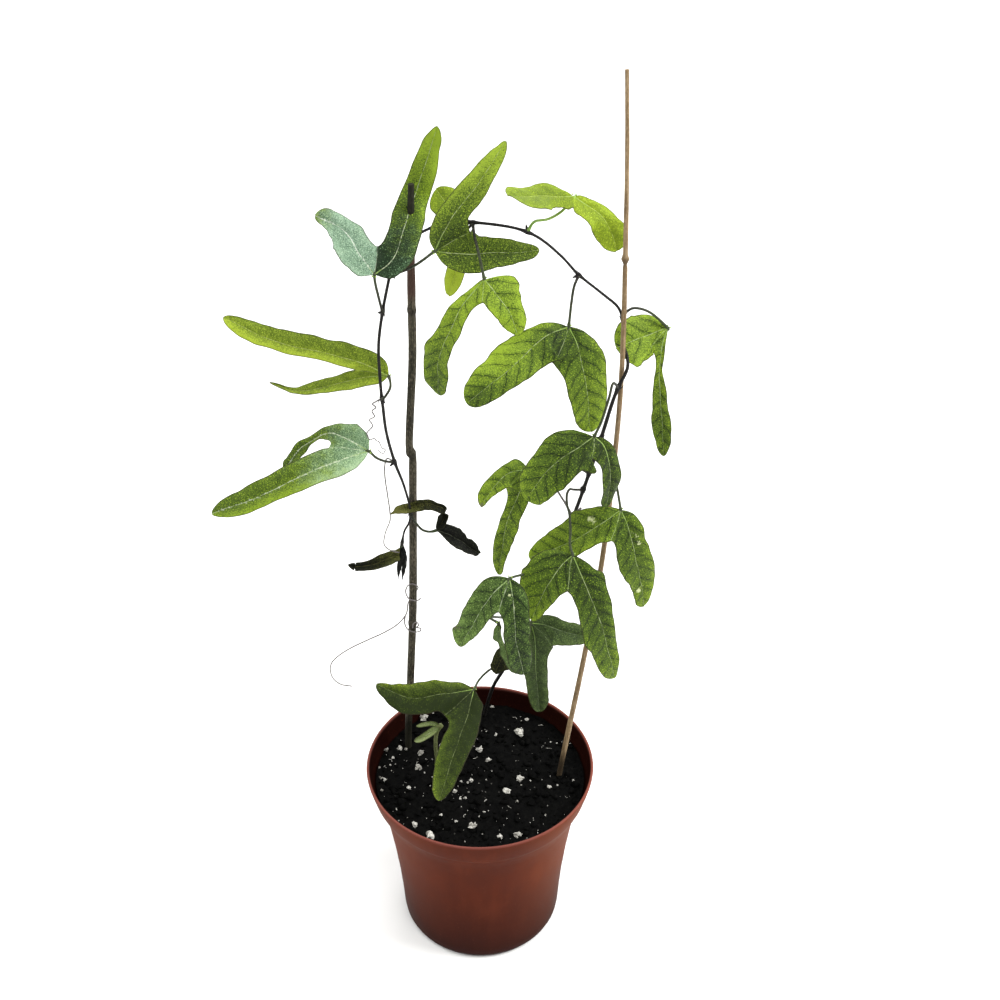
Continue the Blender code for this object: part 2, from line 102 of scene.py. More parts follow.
def coat(obj, material):
    obj.data.materials.clear()
    obj.data.materials.append(material)


def finishPiece(obj, slotName, *nodes, crease=50):
    pick(obj)
    bpy.ops.object.transform_apply(location=True, rotation=True, scale=True)
    bpy.ops.object.shade_smooth_by_angle(angle=math.radians(crease))
    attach(obj, "root")
    if nodes:
        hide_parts(*nodes)


def pieceName(node, ending):
    first, *rest = node.split("_")
    return first + "".join(word.title() for word in rest) + ending


def rows(text):
    # rows of numbers with commas between them
    return [[float(number) for number in row.split()] for row in text.split(",")]


def smoothRoute(points, step):
    # points about one step apart on a smooth curve through the given ones
    spots = [Vector(p) for p in points]
    spots = [spots[0] * 2 - spots[1]] + spots + [spots[-1] * 2 - spots[-2]]
    route = []
    for a, b, c, d in zip(spots, spots[1:], spots[2:], spots[3:]):
        count = max(1, round((c - b).length / step))
        for i in range(count):
            t = i / count
            route.append(0.5 * (2 * b + (c - a) * t + (2 * a - 5 * b + 4 * c - d) * t ** 2
                                + (3 * b - a - 3 * c + d) * t ** 3))
    return route + [spots[-2]]


def measured(points, step=0.5):
    # a smooth route with its running length
    route = smoothRoute(points, step)
    reach = [0.0]
    for a, b in zip(route, route[1:]):
        reach.append(reach[-1] + (b - a).length)
    return route, reach


def placeAt(line, s):
    route, reach = line
    i = min(max(bisect.bisect_right(reach, s) - 1, 0), len(route) - 2)
    return route[i].lerp(route[i + 1], (s - reach[i]) / max(1e-9, reach[i + 1] - reach[i]))


def wayAt(line, s, span=0.8):
    end = line[1][-1]
    return (placeAt(line, min(end, s + span)) - placeAt(line, max(0.0, s - span))).normalized()


def held(value):
    return min(1.0, max(0.0, value))


def hill(value, width):
    return math.exp(-(value / width) ** 2)


def between(stops, t):
    # value at t on a list of (place, value), eased from one to the next
    for (a, low), (b, high) in zip(stops, stops[1:]):
        if t <= b:
            share = held((t - a) / (b - a))
            return low + (high - low) * share * share * (3 - 2 * share)
    return stops[-1][1]


def paint(obj, name, values):
    # three numbers for each vertex, or the same for all, read by the materials
    if isinstance(values, tuple):
        values = [values] * len(obj.data.vertices)
    layer = obj.data.attributes.new(name, "FLOAT_VECTOR", "POINT")
    layer.data.foreach_set("vector", [number for value in values for number in value])


def addTube(points, radii, roundness=1):
    # a closed round rod along points; roundness 1 gives 6 sides, 2 gives 8
    bpy.ops.object.select_all(action="DESELECT")
    bpy.ops.curve.primitive_nurbs_path_add()
    obj = bpy.context.object
    curve = obj.data
    curve.splines.clear()
    spline = curve.splines.new("POLY")
    spline.points.add(len(points) - 1)
    for spot, place, radius in zip(spline.points, points, radii):
        spot.co = (*(place * mm), 1)
        spot.radius = radius
    curve.bevel_depth = mm
    curve.bevel_resolution = roundness
    curve.use_fill_caps = True
    bpy.ops.object.convert(target="MESH")
    closeMesh(obj)
    return obj


def addLump(place, size, seed, rough=0.25, divisions=1):
    # an uneven grain: size is its half width in three directions
    bpy.ops.mesh.primitive_ico_sphere_add(subdivisions=divisions, radius=mm, location=(0, 0, 0))
    obj = bpy.context.object
    shift = Vector((seed * 1.7, seed * 0.3, seed * 2.9))
    for vert in obj.data.vertices:
        way = vert.co.normalized()
        grow = 1 + rough * (noise.noise(way * 1.3 + shift) * 2 + noise.noise(way * 3.1 + shift))
        vert.co = Vector(place) * mm + Vector([way[i] * size[i] * grow * mm for i in range(3)])
    return obj


def colour(hexValue):
    # sRGB hex to the linear values that Blender mixes
    parts = [int(hexValue[i:i + 2], 16) / 255 for i in (0, 2, 4)]
    return (*[p / 12.92 if p <= 0.04045 else ((p + 0.055) / 1.055) ** 2.4 for p in parts], 1.0)


def addNode(mat, kind, *values, out=0, stops=(), **settings):
    # values go to the first sockets, or to those that a dictionary numbers; a setting with a
    # capital is a socket's name, any other the node's own; a socket as value is linked
    node = mat.node_tree.nodes.new("ShaderNode" + kind)
    sockets = values[0] if values and isinstance(values[0], dict) else dict(enumerate(values))
    for key, value in settings.items():
        if key[0].islower():
            setattr(node, key, value)
        else:
            sockets[key.replace("_", " ")] = value
    for key, value in sockets.items():
        if isinstance(value, bpy.types.NodeSocket):
            mat.node_tree.links.new(value, node.inputs[key])
        else:
            node.inputs[key].default_value = value
    for i, (place, tone) in enumerate(stops):
        spot = node.color_ramp.elements[i] if i < 2 else node.color_ramp.elements.new(place)
        spot.position = place
        spot.color = colour(tone)
    return node.outputs[out] if node.outputs else node


def newMaterial(name, **shader):
    # gives the material, its shader, its own node maker and the place on the object
    mat = bpy.data.materials.new(name)
    mat.use_nodes = True
    mat.node_tree.nodes.clear()
    surface = addNode(mat, "BsdfPrincipled", **shader)
    addNode(mat, "OutputMaterial", Surface=surface)
    add = partial(addNode, mat)
    return mat, surface.node, add, add("TexCoord", out=3)


def finishMaterial(mat, shader, tone, layers=(), dull=None, relief=None, bump=(0.5, 0.2)):
    # layers: (how much shows, colour), each over the last; bump: strength and depth in mm
    for shown, top in layers:
        top = colour(top) if isinstance(top, str) else top
        tone = addNode(mat, "Mix", {0: shown, 6: tone, 7: top}, data_type="RGBA", out=2)
    if relief:
        relief = addNode(mat, "Bump", Height=relief, Strength=bump[0], Distance=bump[1] * mm)
    for socket, name in ((tone, "Base Color"), (dull, "Roughness"), (relief, "Normal")):
        if socket:
            mat.node_tree.links.new(socket, shader.inputs[name])
    return mat


# Living passion flower leaf: a thin satin blade with impressed side veins, a pale midrib in each
# lobe, a fine net of veinlets and a blotchy green that is lighter towards tips and margins. The
# side-vein creases carry painted shade and the swellings between them a painted highlight, and
# each lobe's lightness is partly painted light and shade.
leafLooks = {
    # tones: deep, middle, bright, vein; veins, ribs and grain: how strongly the side veins,
    # midribs and speckle show, the side veins in relief and in their painted shade and highlight
    "mature": dict(tones="1b260d 4a5f1e 8aa32e b0bf88", glow=0.05, ribs=0.8, grain=1.6),
    "grained": dict(tones="1b260d 4d611f 8fa634 b6c487", glow=0.05, veins=0.22, ribs=1.0,
                    grain=2.1),
    # rim: a darker copy for the leaf on the pot rim, painted shade under the leaves above
    "rim": dict(tones="1e280b 455518 8d9d2e 98a670", glow=0.05, veins=0.3, ribs=0.6, grain=0.9),
    # silvery: its pale grey-green partly a painted sheen of the sky, its whitish band the leaf's
    # own
    "silvery": dict(tones="3b513b 7c997f b2c9ab e6ecdc", band="e2ead9", silverEnds=(0.7, 1.1),
                    glow=0.04, veins=0.2, ribs=1.0, grain=1.9),
    "silverBase": dict(tones="304631 6f8c68 a6be96 d3dcba", band="d7dfc8",
                       silverEnds=(0.05, 0.5), glow=0.04, veins=0.2, ribs=0.9, grain=1.9),
    "silverFoot": dict(tones="1d2c1a 4f6a4b 8aa585 c4d0a8", silverEnds=(0.05, 0.42), glow=0.04,
                       veins=0.2, ribs=1.0, grain=1.9),
    "lime": dict(tones="56691a 7f9322 b4c83e c2d070", glow=0.06, veins=0.35, grain=1.3),
    "young": dict(tones="3f4c28 75864b a4b07c bcc4a0", glow=0.05, veins=0.3),
    "folded": dict(tones="2c3a1c 556a38 93a468 b4bf94", glow=0.05, veins=0.3),
    # dark and shaded: darker copies for low leaves, painted shade under the leaves above
    "dark": dict(tones="141e0e 3d5123 7a954c b4c09c", glow=0.04, ribs=0.9, grain=1.7),
    "shaded": dict(tones="151d10 374624 6a7f44 8b9a72", glow=0.04, veins=0.4, ribs=0.7,
                   grain=1.1),
    "olive": dict(tones="30330f 5f7320 9bad35 b2b972", glow=0.06, veins=0.25, ribs=0.8,
                  grain=1.5),
    "withered": dict(tones="060706 11120e 34372b 5d6052", under="1c1d16", margin="34362c",
                     glow=0.0, veins=0.2, grain=1.8),
    "dryOlive": dict(tones="12130a 3b3e1c 6e6e38 6f6d42", under="0c0d09", margin="2c2c16",
                     glow=0.0, veins=0.2, grain=1.8),
}
leafDetail = {
    "sideVeinGap": 7.4,      # mm along the midrib from one side vein to the next
    "sideVeinSlant": 0.75,   # how far a side vein runs forward for each mm outwards
    "sideVeinCurve": 0.035,
    "veinletCell": 1.2,      # mm, drawn coarser than real so that it shows
    "speckle": 0.42,         # mm
    "dots": 1.1,             # mm from one pale dot to the next
    "blotch": 5.0,           # mm
    "midribWidth": 0.34,     # mm at the base, half its width
}


def leafMaterial(name, look, under=False):
    look = leafLooks[look]
    vein = look["tones"].split()[3]
    mat, shader, add, place = newMaterial(
        name, Roughness=0.45, Specular_IOR_Level=0.09, Subsurface_Weight=look["glow"],
        Subsurface_Scale=0.0006, Subsurface_Radius=(0.6, 1.0, 0.2))
    (along, across, edge), (centre, share, painted), marks = [
        add("SeparateXYZ", add("Attribute", attribute_name=layer, out=1)).node.outputs
        for layer in ("leafMap", "webMap", "markMap")]
    out = add("Math", across, operation="ABSOLUTE")
    # side veins: a repeating place that runs forward with the distance from the midrib
    lead = add("Math", out, out, operation="MULTIPLY")
    wobble = add("TexNoise", Vector=place, Scale=1 / (7 * mm), Detail=2.0)
    for value, amount, rest in ((lead, -leafDetail["sideVeinCurve"], along),
                                (out, -leafDetail["sideVeinSlant"], None), (wobble, 5.0, None)):
        lead = add("Math", value, amount, rest or lead, operation="MULTIPLY_ADD")
    lead = add("Math", lead, leafDetail["sideVeinGap"], operation="DIVIDE")
    otherSide = add("Math", across, 0.0, operation="GREATER_THAN")
    beat = add("Math", otherSide, 0.5, lead, operation="MULTIPLY_ADD")
    beat = add("Math", beat, operation="FRACT")
    beat = add("Math", beat, 0.5, operation="SUBTRACT")
    beat = add("Math", beat, operation="ABSOLUTE")          # 0.5 on a vein
    # the crease of a side vein and the swelling between two, the midrib, the short vein to the
    # notch, the lighter margin and its thin dark rim
    width = add("MapRange", share, 0, 1, leafDetail["midribWidth"], 0.12)
    crease, swell, rib, notchRib, rise, rim = [
        add("MapRange", *values, interpolation_type="SMOOTHSTEP") for values in (
            (beat, 0.452, 0.494), (beat, 0.18, 0.46, 0.04, -0.05), (out, 0.0, width, 1.0, 0.0),
            (centre, 0.0, 0.35, 0.6, 0.0), (edge, 4.5, 0.8, 0, 0.13), (edge, 0.0, 0.7, 0.75, 0.0))]
    rib = add("Math", rib, notchRib, operation="MAXIMUM")
    broken = add("TexNoise", Vector=place, Scale=1 / (1.8 * mm), Detail=2.0)
    broken = add("MapRange", broken, 0.35, 0.62, 0.1, 0.95)
    # blotches, speckle and veinlets
    blotch = add("TexNoise", Vector=place, Scale=1 / (leafDetail["blotch"] * mm), Detail=3.0,
                 Roughness=0.6)
    net = add("TexVoronoi", feature="DISTANCE_TO_EDGE", Vector=place,
              Scale=1 / (leafDetail["veinletCell"] * mm))
    net = add("MapRange", net, 0.0, 0.25)
    # speckle and pale dots: partly the leaf's own mottling, partly painted glints off tiny bumps
    speck = add("TexNoise", Vector=place, Scale=1 / (leafDetail["speckle"] * mm), Detail=3.0,
                Roughness=0.7)
    dots = add("TexVoronoi", Vector=place, Scale=1 / (leafDetail["dots"] * mm))
    dots = add("MapRange", dots, 0.3, 0.12)
    # lightness: as painted on the blade, partly each lobe's painted light and shade, then by each
    # pattern
    veins, grains = look.get("veins", 1.0), look.get("grain", 1.0)
    light = add("Math", painted, 0.21 + 0.55 * grains, operation="SUBTRACT")
    # creases darken as painted shade, swellings lighten as a painted highlight
    for pattern, amount in ((blotch, 0.24), (speck, grains), (net, 0.13), (dots, 0.26 * grains),
                            (crease, -0.3 * veins), (swell, veins), (rise, 1.0)):
        light = add("Math", pattern, amount, light, operation="MULTIPLY_ADD")
    shades = [look["tones"].split()]
    if "silverEnds" in look:
        shades.append(leafLooks["mature"]["tones"].split())
    tone, *green = [add("ValToRGB", light, stops=[(0.1, deep), (0.9, bright), (0.47, middle)])
                    for deep, middle, bright, pale in shades]
    layers = []
    # silvery leaves: green ends, and a whitish broken band beside the midrib
    if green:
        start, end = look["silverEnds"]
        ends = add("Math", blotch, 0.5, share, operation="MULTIPLY_ADD")
        ends = add("MapRange", ends, start + 0.25, end + 0.25, interpolation_type="SMOOTHSTEP")
        layers.append((ends, green[0]))
    if "band" in look:
        band = add("TexNoise", Vector=place, Scale=1 / (1.3 * mm), Detail=3.0, Roughness=0.7)
        band = add("MapRange", band, 0.42, 0.7, -0.45, 1.25)
        band = add("Math", band, out, operation="SUBTRACT")
        band = add("Math", band, 0.9, operation="MULTIPLY", use_clamp=True)
        layers.append((band, look["band"]))
    strong = add("Math", rib, broken, operation="MULTIPLY")
    strong = add("Math", strong, look.get("ribs", 0.7), operation="MULTIPLY")
    layers += [(strong, vein), (rim, look.get("margin", "2c2a1c"))]
    # bleached scars and dried-up parts
    flaw = add("TexNoise", Vector=place, Scale=1 / (1.1 * mm), Detail=3.0)
    for mark, worn in ((marks[0], "d6dba8"), (marks[1], "5b5548")):
        ragged = add("Math", flaw, 1.4, mark, operation="MULTIPLY_ADD")
        ragged = add("MapRange", ragged, 1.15, 1.5, 0, 0.75)
        inside = add("MapRange", mark, 0.05, 0.25)
        layers.append((add("Math", ragged, inside, operation="MULTIPLY"), worn))
    if under:
        layers.append((0.35, look.get("under", "8a9a6c")))
    relief = add("Math", crease, -1.0 * veins, speck, operation="MULTIPLY_ADD")
    relief = add("Math", rib, 1.0, relief, operation="MULTIPLY_ADD")
    return finishMaterial(mat, shader, tone, layers, add("MapRange", blotch, 0, 1, 0.42, 0.62),
                          relief, (0.8, 0.2))


# Living stalk: a green or purple-brown skin, slightly glossy, with fine lengthwise streaks
def stalkMaterial(name, lower, upper, streak):
    mat, shader, add, place = newMaterial(name, Roughness=0.5, Specular_IOR_Level=0.15)
    share = add("SeparateXYZ", add("Attribute", attribute_name="leafMap", out=1))
    patch = add("TexNoise", Vector=place, Scale=1 / (2.5 * mm), Detail=3.0)
    mixed = add("Math", patch, 0.8, share, operation="MULTIPLY_ADD")
    mixed = add("Math", mixed, 0.4, operation="SUBTRACT")
    tone = add("ValToRGB", mixed, stops=[(0.0, lower), (1.0, upper)])
    fine = add("TexNoise", Vector=place, Scale=1 / (0.7 * mm), Detail=2.0)
    fine = add("MapRange", fine, 0.45, 0.75, 0, 0.5)
    return finishMaterial(mat, shader, tone, [(fine, streak)], None, patch, (0.4, 0.2))


# Bamboo cane: a dry rod whose long fibres give fine lengthwise streaks, the nodes darker
def caneMaterial(name, tones, streakWidth, roughness, flecks):
    mat, shader, add, place = newMaterial(name, Roughness=roughness, Specular_IOR_Level=0.15)
    narrow = 1 / (streakWidth * mm)
    fibre = add("Mapping", Vector=place, Scale=(narrow, narrow, 1 / (22 * mm)))
    streaks = add("TexNoise", Vector=fibre, Scale=1.0, Detail=3.0, Roughness=0.6)
    patch = add("TexNoise", Vector=place, Scale=1 / (16 * mm), Detail=3.0)
    mixed = add("Math", patch, 0.9, streaks, operation="MULTIPLY_ADD")
    mixed = add("Math", mixed, 0.45, operation="SUBTRACT")
    tone = add("ValToRGB", mixed, stops=[(0.15, tones["dark"]), (0.85, tones["light"]),
                                         (0.5, tones["skin"])])
    flake = add("Mapping", Vector=place, Scale=(1 / (0.55 * mm), 1 / (0.55 * mm), 1 / (1.6 * mm)))
    speck = add("TexNoise", Vector=flake, Scale=1.0, Detail=2.0)
    layers = [(add("MapRange", speck, start, end, 0, flecks), tones[stain])
              for start, end, stain in ((0.52, 0.66, "fleck"), (0.44, 0.32, "paleFleck"))]
    rings = add("SeparateXYZ", add("Attribute", attribute_name="caneMap", out=1)).node.outputs
    layers += zip(rings, (tones["ring"], tones["damp"], "4d3530"))    # the last, worn bare
    return finishMaterial(mat, shader, tone, layers, None, streaks, (0.6, 0.25))


# Moulded polypropylene: satin terracotta brown, faint flow marks, scuffs and a film of dust
def potMaterial():
    mat, shader, add, place = newMaterial("moulded_polypropylene", Roughness=0.45,
                                          Specular_IOR_Level=0.015, Subsurface_Weight=0.0)
    across, back, height = add("SeparateXYZ", place).node.outputs
    cloud = add("TexNoise", Vector=place, Scale=1 / (28 * mm), Detail=3.0)
    drawn = add("Mapping", Vector=place, Scale=(1 / (6 * mm), 1 / (6 * mm), 1 / (60 * mm)))
    flow = add("TexNoise", Vector=drawn, Scale=1.0, Detail=2.0)
    mixed = add("Math", flow, 0.35, cloud, operation="MULTIPLY_ADD")
    tone = add("ValToRGB", add("Math", mixed, 0.18, operation="SUBTRACT"), stops=[
        (0.15, "482016"), (0.85, "632e1d"), (0.5, "522416")])
    # painted light: lighter and more orange on the right side, and a little on the left
    layers = [(add("MapRange", across, start * mm, end * mm, 0, most,
                   interpolation_type="SMOOTHSTEP"), sideLight)
              for start, end, most, sideLight in ((12, 52, 0.6, "713a20"), (-12, -48, 0.5, "68392a"))]
    # painted shade: darker towards the bottom
    layers.append((add("MapRange", height, 0.0, 62 * mm, 0.9, 0.0), "22100e"))
    # the inside, out of the light
    outward = add("VectorMath", place, (1, 1, 0), operation="MULTIPLY")
    outward = add("VectorMath", outward, operation="NORMALIZE")
    inside = add("VectorMath", add("NewGeometry", out=1), outward, operation="DOT_PRODUCT", out=1)
    layers.append((add("MapRange", inside, -0.3, -0.75, 0, 0.95), "140504"))
    dust = add("TexNoise", Vector=place, Scale=1 / (1.6 * mm), Detail=4.0, Roughness=0.7)
    layers.append((add("MapRange", dust, 0.6, 0.85, 0, 0.2), "8a4c34"))
    layers.append((add("MapRange", height, 105.4 * mm, 107 * mm, 0, 0.55), "855049"))   # the lip, lighter: a painted highlight
    return finishMaterial(mat, shader, tone, layers, add("MapRange", cloud, 0, 1, 0.38, 0.58),
                          mixed, (0.25, 0.3))


# Potting mix: damp peat and bark, almost black, crumbs with a faint wet shine
def mixMaterial():
    mat, shader, add, place = newMaterial("damp_peat", Roughness=0.8, Specular_IOR_Level=0.05)
    crumb = add("TexNoise", Vector=place, Scale=1 / (2.0 * mm), Detail=5.0, Roughness=0.7)
    bark = add("TexVoronoi", Vector=place, Scale=1 / (1.5 * mm), out=1)
    mixed = add("Math", bark, 0.25, crumb, operation="MULTIPLY_ADD")
    tone = add("ValToRGB", mixed, stops=[(0.45, "000000"), (1.0, "191715"), (0.78, "030302")])
    return finishMaterial(mat, shader, tone, (), add("MapRange", crumb, 0, 1, 0.95, 0.6), crumb,
                          (0.9, 0.5))


# Perlite: puffed volcanic glass, chalky white grains with small dark pits
def perliteMaterial():
    mat, shader, add, place = newMaterial("perlite", Roughness=0.9, Specular_IOR_Level=0.2)
    pits = add("TexNoise", Vector=place, Scale=1 / (0.7 * mm), Detail=3.0)
    stain = add("TexNoise", Vector=place, Scale=1 / (5 * mm), Detail=1.0)
    mixed = add("Math", stain, 0.6, pits, operation="MULTIPLY_ADD")
    tone = add("ValToRGB", mixed, stops=[(0.55, "403f3a"), (0.95, "c0beb6"), (0.72, "85827a")])
    return finishMaterial(mat, shader, tone, (), None, pits, (0.8, 0.25))


tops = {look: leafMaterial("leaf_" + look, look) for look in leafLooks}
unders = {look: leafMaterial("leaf_underside_" + look, look, True) for look in leafLooks}
darkStalk = stalkMaterial("purple_stalk", "1a1518", "38422a", "5d5f4b")
greenStalk = stalkMaterial("green_stalk", "5b7a35", "8fae4c", "b3c479")
shootSkin = stalkMaterial("young_shoot_skin", "474c2e", "6e7648", "949c70")
stemSkin = stalkMaterial("vine_skin", "100d0f", "1b1b18", "3a3934")
tendrilSkin = stalkMaterial("tendril_skin", "4b4547", "716c6a", "97918a")
darkBamboo = caneMaterial("weathered_bamboo", {
    "dark": "1d1c15", "skin": "3a372b", "light": "5c5448", "ring": "211d18", "damp": "1c1d15",
    "fleck": "10100c", "paleFleck": "665d50"}, 0.7, 0.75, 0.8)
paleBamboo = caneMaterial("pale_bamboo", {
    "dark": "5c4a35", "skin": "7d684c", "light": "a38e6f", "ring": "473826", "damp": "221c15",
    "fleck": "55432f", "paleFleck": "b39f80"}, 0.55, 0.65, 0.3)
potPlastic = potMaterial()
peat = mixMaterial()
perlite = perliteMaterial()
print("materials made")

potShape = {
    "sides": 128,
    # (radius, height) from under the foot, round the lip and down inside to the floor
    "underneath": [(34.8, 1.2), (35.6, 0.5), (36.5, 0.0), (38.5, 0.0), (40.2, 0.5), (41.8, 1.8)],
    "outside": [(42.8, 4.2), (43.3, 8.0), (44.0, 20.0), (45.2, 35.0), (47.5, 55.0), (50.0, 72.0),
                (51.9, 82.0), (54.1, 89.6), (55.4, 91.6), (56.6, 93.4), (57.3, 95.2),
                (58.6, 100.0), (59.85, 105.2), (60.0, 106.3)],
    "lip": [(59.75, 106.85), (59.3, 106.95), (58.75, 106.7), (58.45, 105.8)],
    "inside": [(57.2, 100.0), (55.7, 94.4), (53.2, 92.0), (52.7, 90.0), (48.6, 72.0),
               (46.1, 55.0), (43.8, 35.0), (42.6, 20.0), (41.8, 6.0), (40.6, 3.4), (38.5, 2.6)],
    "floor": [(24, 2.6), (12, 2.6), (4, 2.6)],
    "holes": 8, "holeRadius": 4.0, "holeRing": 28.0, "holeSides": 24, "holeDepth": 12,
}


def makePot():
    rings = sum([potShape[part] for part in ("underneath", "outside", "lip", "inside",
                                             "floor")], [])
    first, height = rings[0]
    bpy.ops.mesh.primitive_circle_add(vertices=potShape["sides"], radius=first * mm,
                                      location=(0, 0, height * mm), fill_type="TRIFAN")
    pot = bpy.context.object
    bpy.ops.object.transform_apply(location=True)
    drawThrough(pot, rings)
    for i in range(potShape["holes"]):
        turn = fullTurn * (i + 0.5) / potShape["holes"]
        spot = Vector((math.cos(turn), math.sin(turn), 0)) * potShape["holeRing"] * mm
        bpy.ops.mesh.primitive_cylinder_add(
            vertices=potShape["holeSides"], radius=potShape["holeRadius"] * mm,
            depth=potShape["holeDepth"] * mm, location=spot)
        drill = bpy.context.object
        pot.modifiers.new("hole", "BOOLEAN").object = drill
        applyModifiers(pot)
        pick(drill)
        bpy.ops.object.delete()
    finishPiece(joinPieces("nurseryPot", [pot], potPlastic), "pot_plastic", "pot", crease=35)


makePot()
print("pot made")

mixShape = {
    "top": 97.0,
    "faces": 120,          # across the top
    "radius": 55.3,
    "side": [(55.2, 94.2), (52.0, 91.6), (48.2, 72.0), (45.7, 55.0), (43.4, 35.0), (42.2, 20.0),
             (41.2, 6.0), (39.0, 3.2), (20.0, 3.0)],
    "swell": 1.5, "swellSize": 17.0,
    "crumbs": 0.9, "crumbSize": 3.2,
    "dust": 0.6, "dustSize": 1.7,
    "clods": 620, "clodSize": (0.5, 2.3), "wallGap": 2.2,
    "fibres": 46, "fibreLength": (3, 9), "fibreSpread": 52,
    "fibreRadius": 0.22, "fibreEnd": 0.1,
    "paleFibres": 14, "paleFibreStep": 0.8, "paleFibreSpread": 50,
    "paleFibreRadius": 0.14, "paleFibreEnd": 0.08,
    "threadLimit": 53.5,     # from the middle, so that no thread meets the wall
    "fineGrains": 170, "fineGrainSpread": 53,
    "fineGrainSize": (0.14, 0.34),    # least, and how much more at most
    "grainShare": 0.82,      # of the half widths listed in grains
}
# perlite grains on top: across, back, half width
grains = """
    -31.9 44.2 2.2, -30.3 45.7 1, -26.8 48 0.72, 21.4 32 2.71, 25.3 41.9 1, 22.6 40.8 0.72,
    -0.2 18.4 2.2, 4.2 11.1 1.52, -32.1 16.7 1.92, -44 20 1.4, -40.6 19.3 0.88, -33.1 5.5 2,
    -53 -1.6 1.12, -50.3 -3.7 1.12, -37.6 -9.2 1.4, -10.1 -3.6 0.88, -6.4 -4.3 0.88,
    -4.6 -3.4 1.2, 3.4 -3.6 0.64, -13.1 -11.7 1.4, -10.2 -17.2 0.8, -7.7 -16.8 1.04,
    3.3 -18.5 1, 14.4 -11.5 1.68, 20.8 -2 2.2, -20.4 -29.5 1.2, -0.5 -29.2 0.88, 2.2 -25.8 0.64,
    -32.9 -36.1 1.92, -25.5 -42.6 2.39, -3.9 -37.5 2.39, 19.6 -42 2, 10.6 -43.1 1.6,
    -11.9 -33.7 0.88, -18.2 -37.9 0.64, 36.7 -8.9 1.12, 41 -7.8 0.56, 49.7 -4.3 0.96,
    48.2 -12.3 0.88, 34.2 -27.3 0.72, 19.6 -19.2 0.8, 8.5 30.5 1.12, 6.2 53.2 1.2, 3 33.2 0.56,
    -1.7 25.5 0.64, -28.4 10.9 0.8, -47.3 12.7 0.88, -54 5.5 0.8, -48.3 7.5 0.72,
    -40.2 36.7 1.44, -51.1 19 1.12, -43.4 -23.9 0.56, 27.2 -0.4 0.72, 26.7 -3.4 0.56,
    30 -39.9 0.4, 44.2 25.9 0.72, 41.8 24.3 0.64, 48.9 24 0.48, -51.7 -10.9 0.88"""


def mixHeight(x, y):
    spot = Vector((x, y, 0))
    return (mixShape["top"] + mixShape["swell"] * noise.noise(spot / mixShape["swellSize"])
            + mixShape["crumbs"] * noise.noise(spot / mixShape["crumbSize"])
            + mixShape["dust"] * abs(noise.noise(spot / mixShape["dustSize"])))


def onMix(x, y, lift):
    return Vector((x, y, mixHeight(x, y) + lift))


def somewhere(draw, most):
    # a place on the mix, at most so far from its middle
    far, turn = most * math.sqrt(draw.random()), draw.uniform(0, fullTurn)
    return far * math.cos(turn), far * math.sin(turn)


def creep(draw, x, y, aim, step, wander, lift):
    # five places of a thread that lies on the mix, fewer at the wall
    points = []
    while len(points) < 5 and math.hypot(x, y) <= mixShape["threadLimit"]:
        points.append(onMix(x, y, lift))
        aim += draw.uniform(-wander, wander)
        x, y = x + math.cos(aim) * step, y + math.sin(aim) * step
    return points


def makeMix():
    bpy.ops.mesh.primitive_grid_add(x_subdivisions=mixShape["faces"],
                                    y_subdivisions=mixShape["faces"], size=2, calc_uvs=False)
    body = bpy.context.object
    for vert in body.data.vertices:
        # the square sheet made round
        x, y = vert.co.x, vert.co.y
        x, y = x * math.sqrt(1 - y * y / 2), y * math.sqrt(1 - x * x / 2)
        vert.co = onMix(x * mixShape["radius"], y * mixShape["radius"], 0) * mm
    drawThrough(body, [(mixShape["radius"], mixShape["top"])] + mixShape["side"])
    draw = random.Random(11)
    bits = [body]
    for i in range(mixShape["clods"]):
        x, y = somewhere(draw, mixShape["radius"] - mixShape["wallGap"])
        low, high = mixShape["clodSize"]
        size = low + (high - low) * draw.random() ** 2.5
        shape = [size * draw.uniform(0.7, 1.3), size * draw.uniform(0.7, 1.3), size * 0.75]
        bits.append(addLump(onMix(x, y, size * 0.15), shape, i, 0.35))
    for i in range(mixShape["fibres"]):
        spot, aim = somewhere(draw, mixShape["fibreSpread"]), draw.uniform(0, fullTurn)
        points = creep(draw, *spot, aim, draw.uniform(*mixShape["fibreLength"]) / 4, 0.5, 0.5)
        if len(points) > 2:
            radii = [mixShape["fibreRadius"]] * (len(points) - 1) + [mixShape["fibreEnd"]]
            bits.append(addTube(points, radii, 0))
    finishPiece(joinPieces("pottingMix", bits, peat), "potting_mix", "soil", crease=60)
    # perlite: grains with crumbs beside the big ones, fine grains and a few pale threads
    white = []
    for i, (x, y, size) in enumerate(rows(grains)):
        size *= mixShape["grainShare"]
        shape = [size * draw.uniform(0.75, 1.2), size * draw.uniform(0.75, 1.2), size * 0.75]
        white.append(addLump(onMix(x, y, size * 0.3), shape, 900 + i, 0.55, 2))
        for k in range(2 if size > 0.9 else 0):
            turn = draw.uniform(0, fullTurn)
            bit = size * draw.uniform(0.4, 0.62)
            far = size * 0.8
            spot = onMix(x + far * math.cos(turn), y + far * math.sin(turn), bit * 0.4)
            white.append(addLump(spot, [bit, bit, bit * 0.8], 950 + 3 * i + k, 0.5, 2))
    for i in range(mixShape["fineGrains"]):
        x, y = somewhere(draw, mixShape["fineGrainSpread"])
        least, more = mixShape["fineGrainSize"]
        size = least + more * draw.random() ** 2
        white.append(addLump(onMix(x, y, 0.25), [size] * 3, 700 + i, 0.4))
    for i in range(mixShape["paleFibres"]):
        spot, aim = somewhere(draw, mixShape["paleFibreSpread"]), draw.uniform(0, fullTurn)
        points = creep(draw, *spot, aim, mixShape["paleFibreStep"], 0.9, 0.45)
        radii = [mixShape["paleFibreRadius"]] * 4 + [mixShape["paleFibreEnd"]]
        white.append(addTube(points, radii, 0))
    finishPiece(joinPieces("perliteGrains", white, perlite), "potting_mix", crease=60)


makeMix()
print("potting mix made")

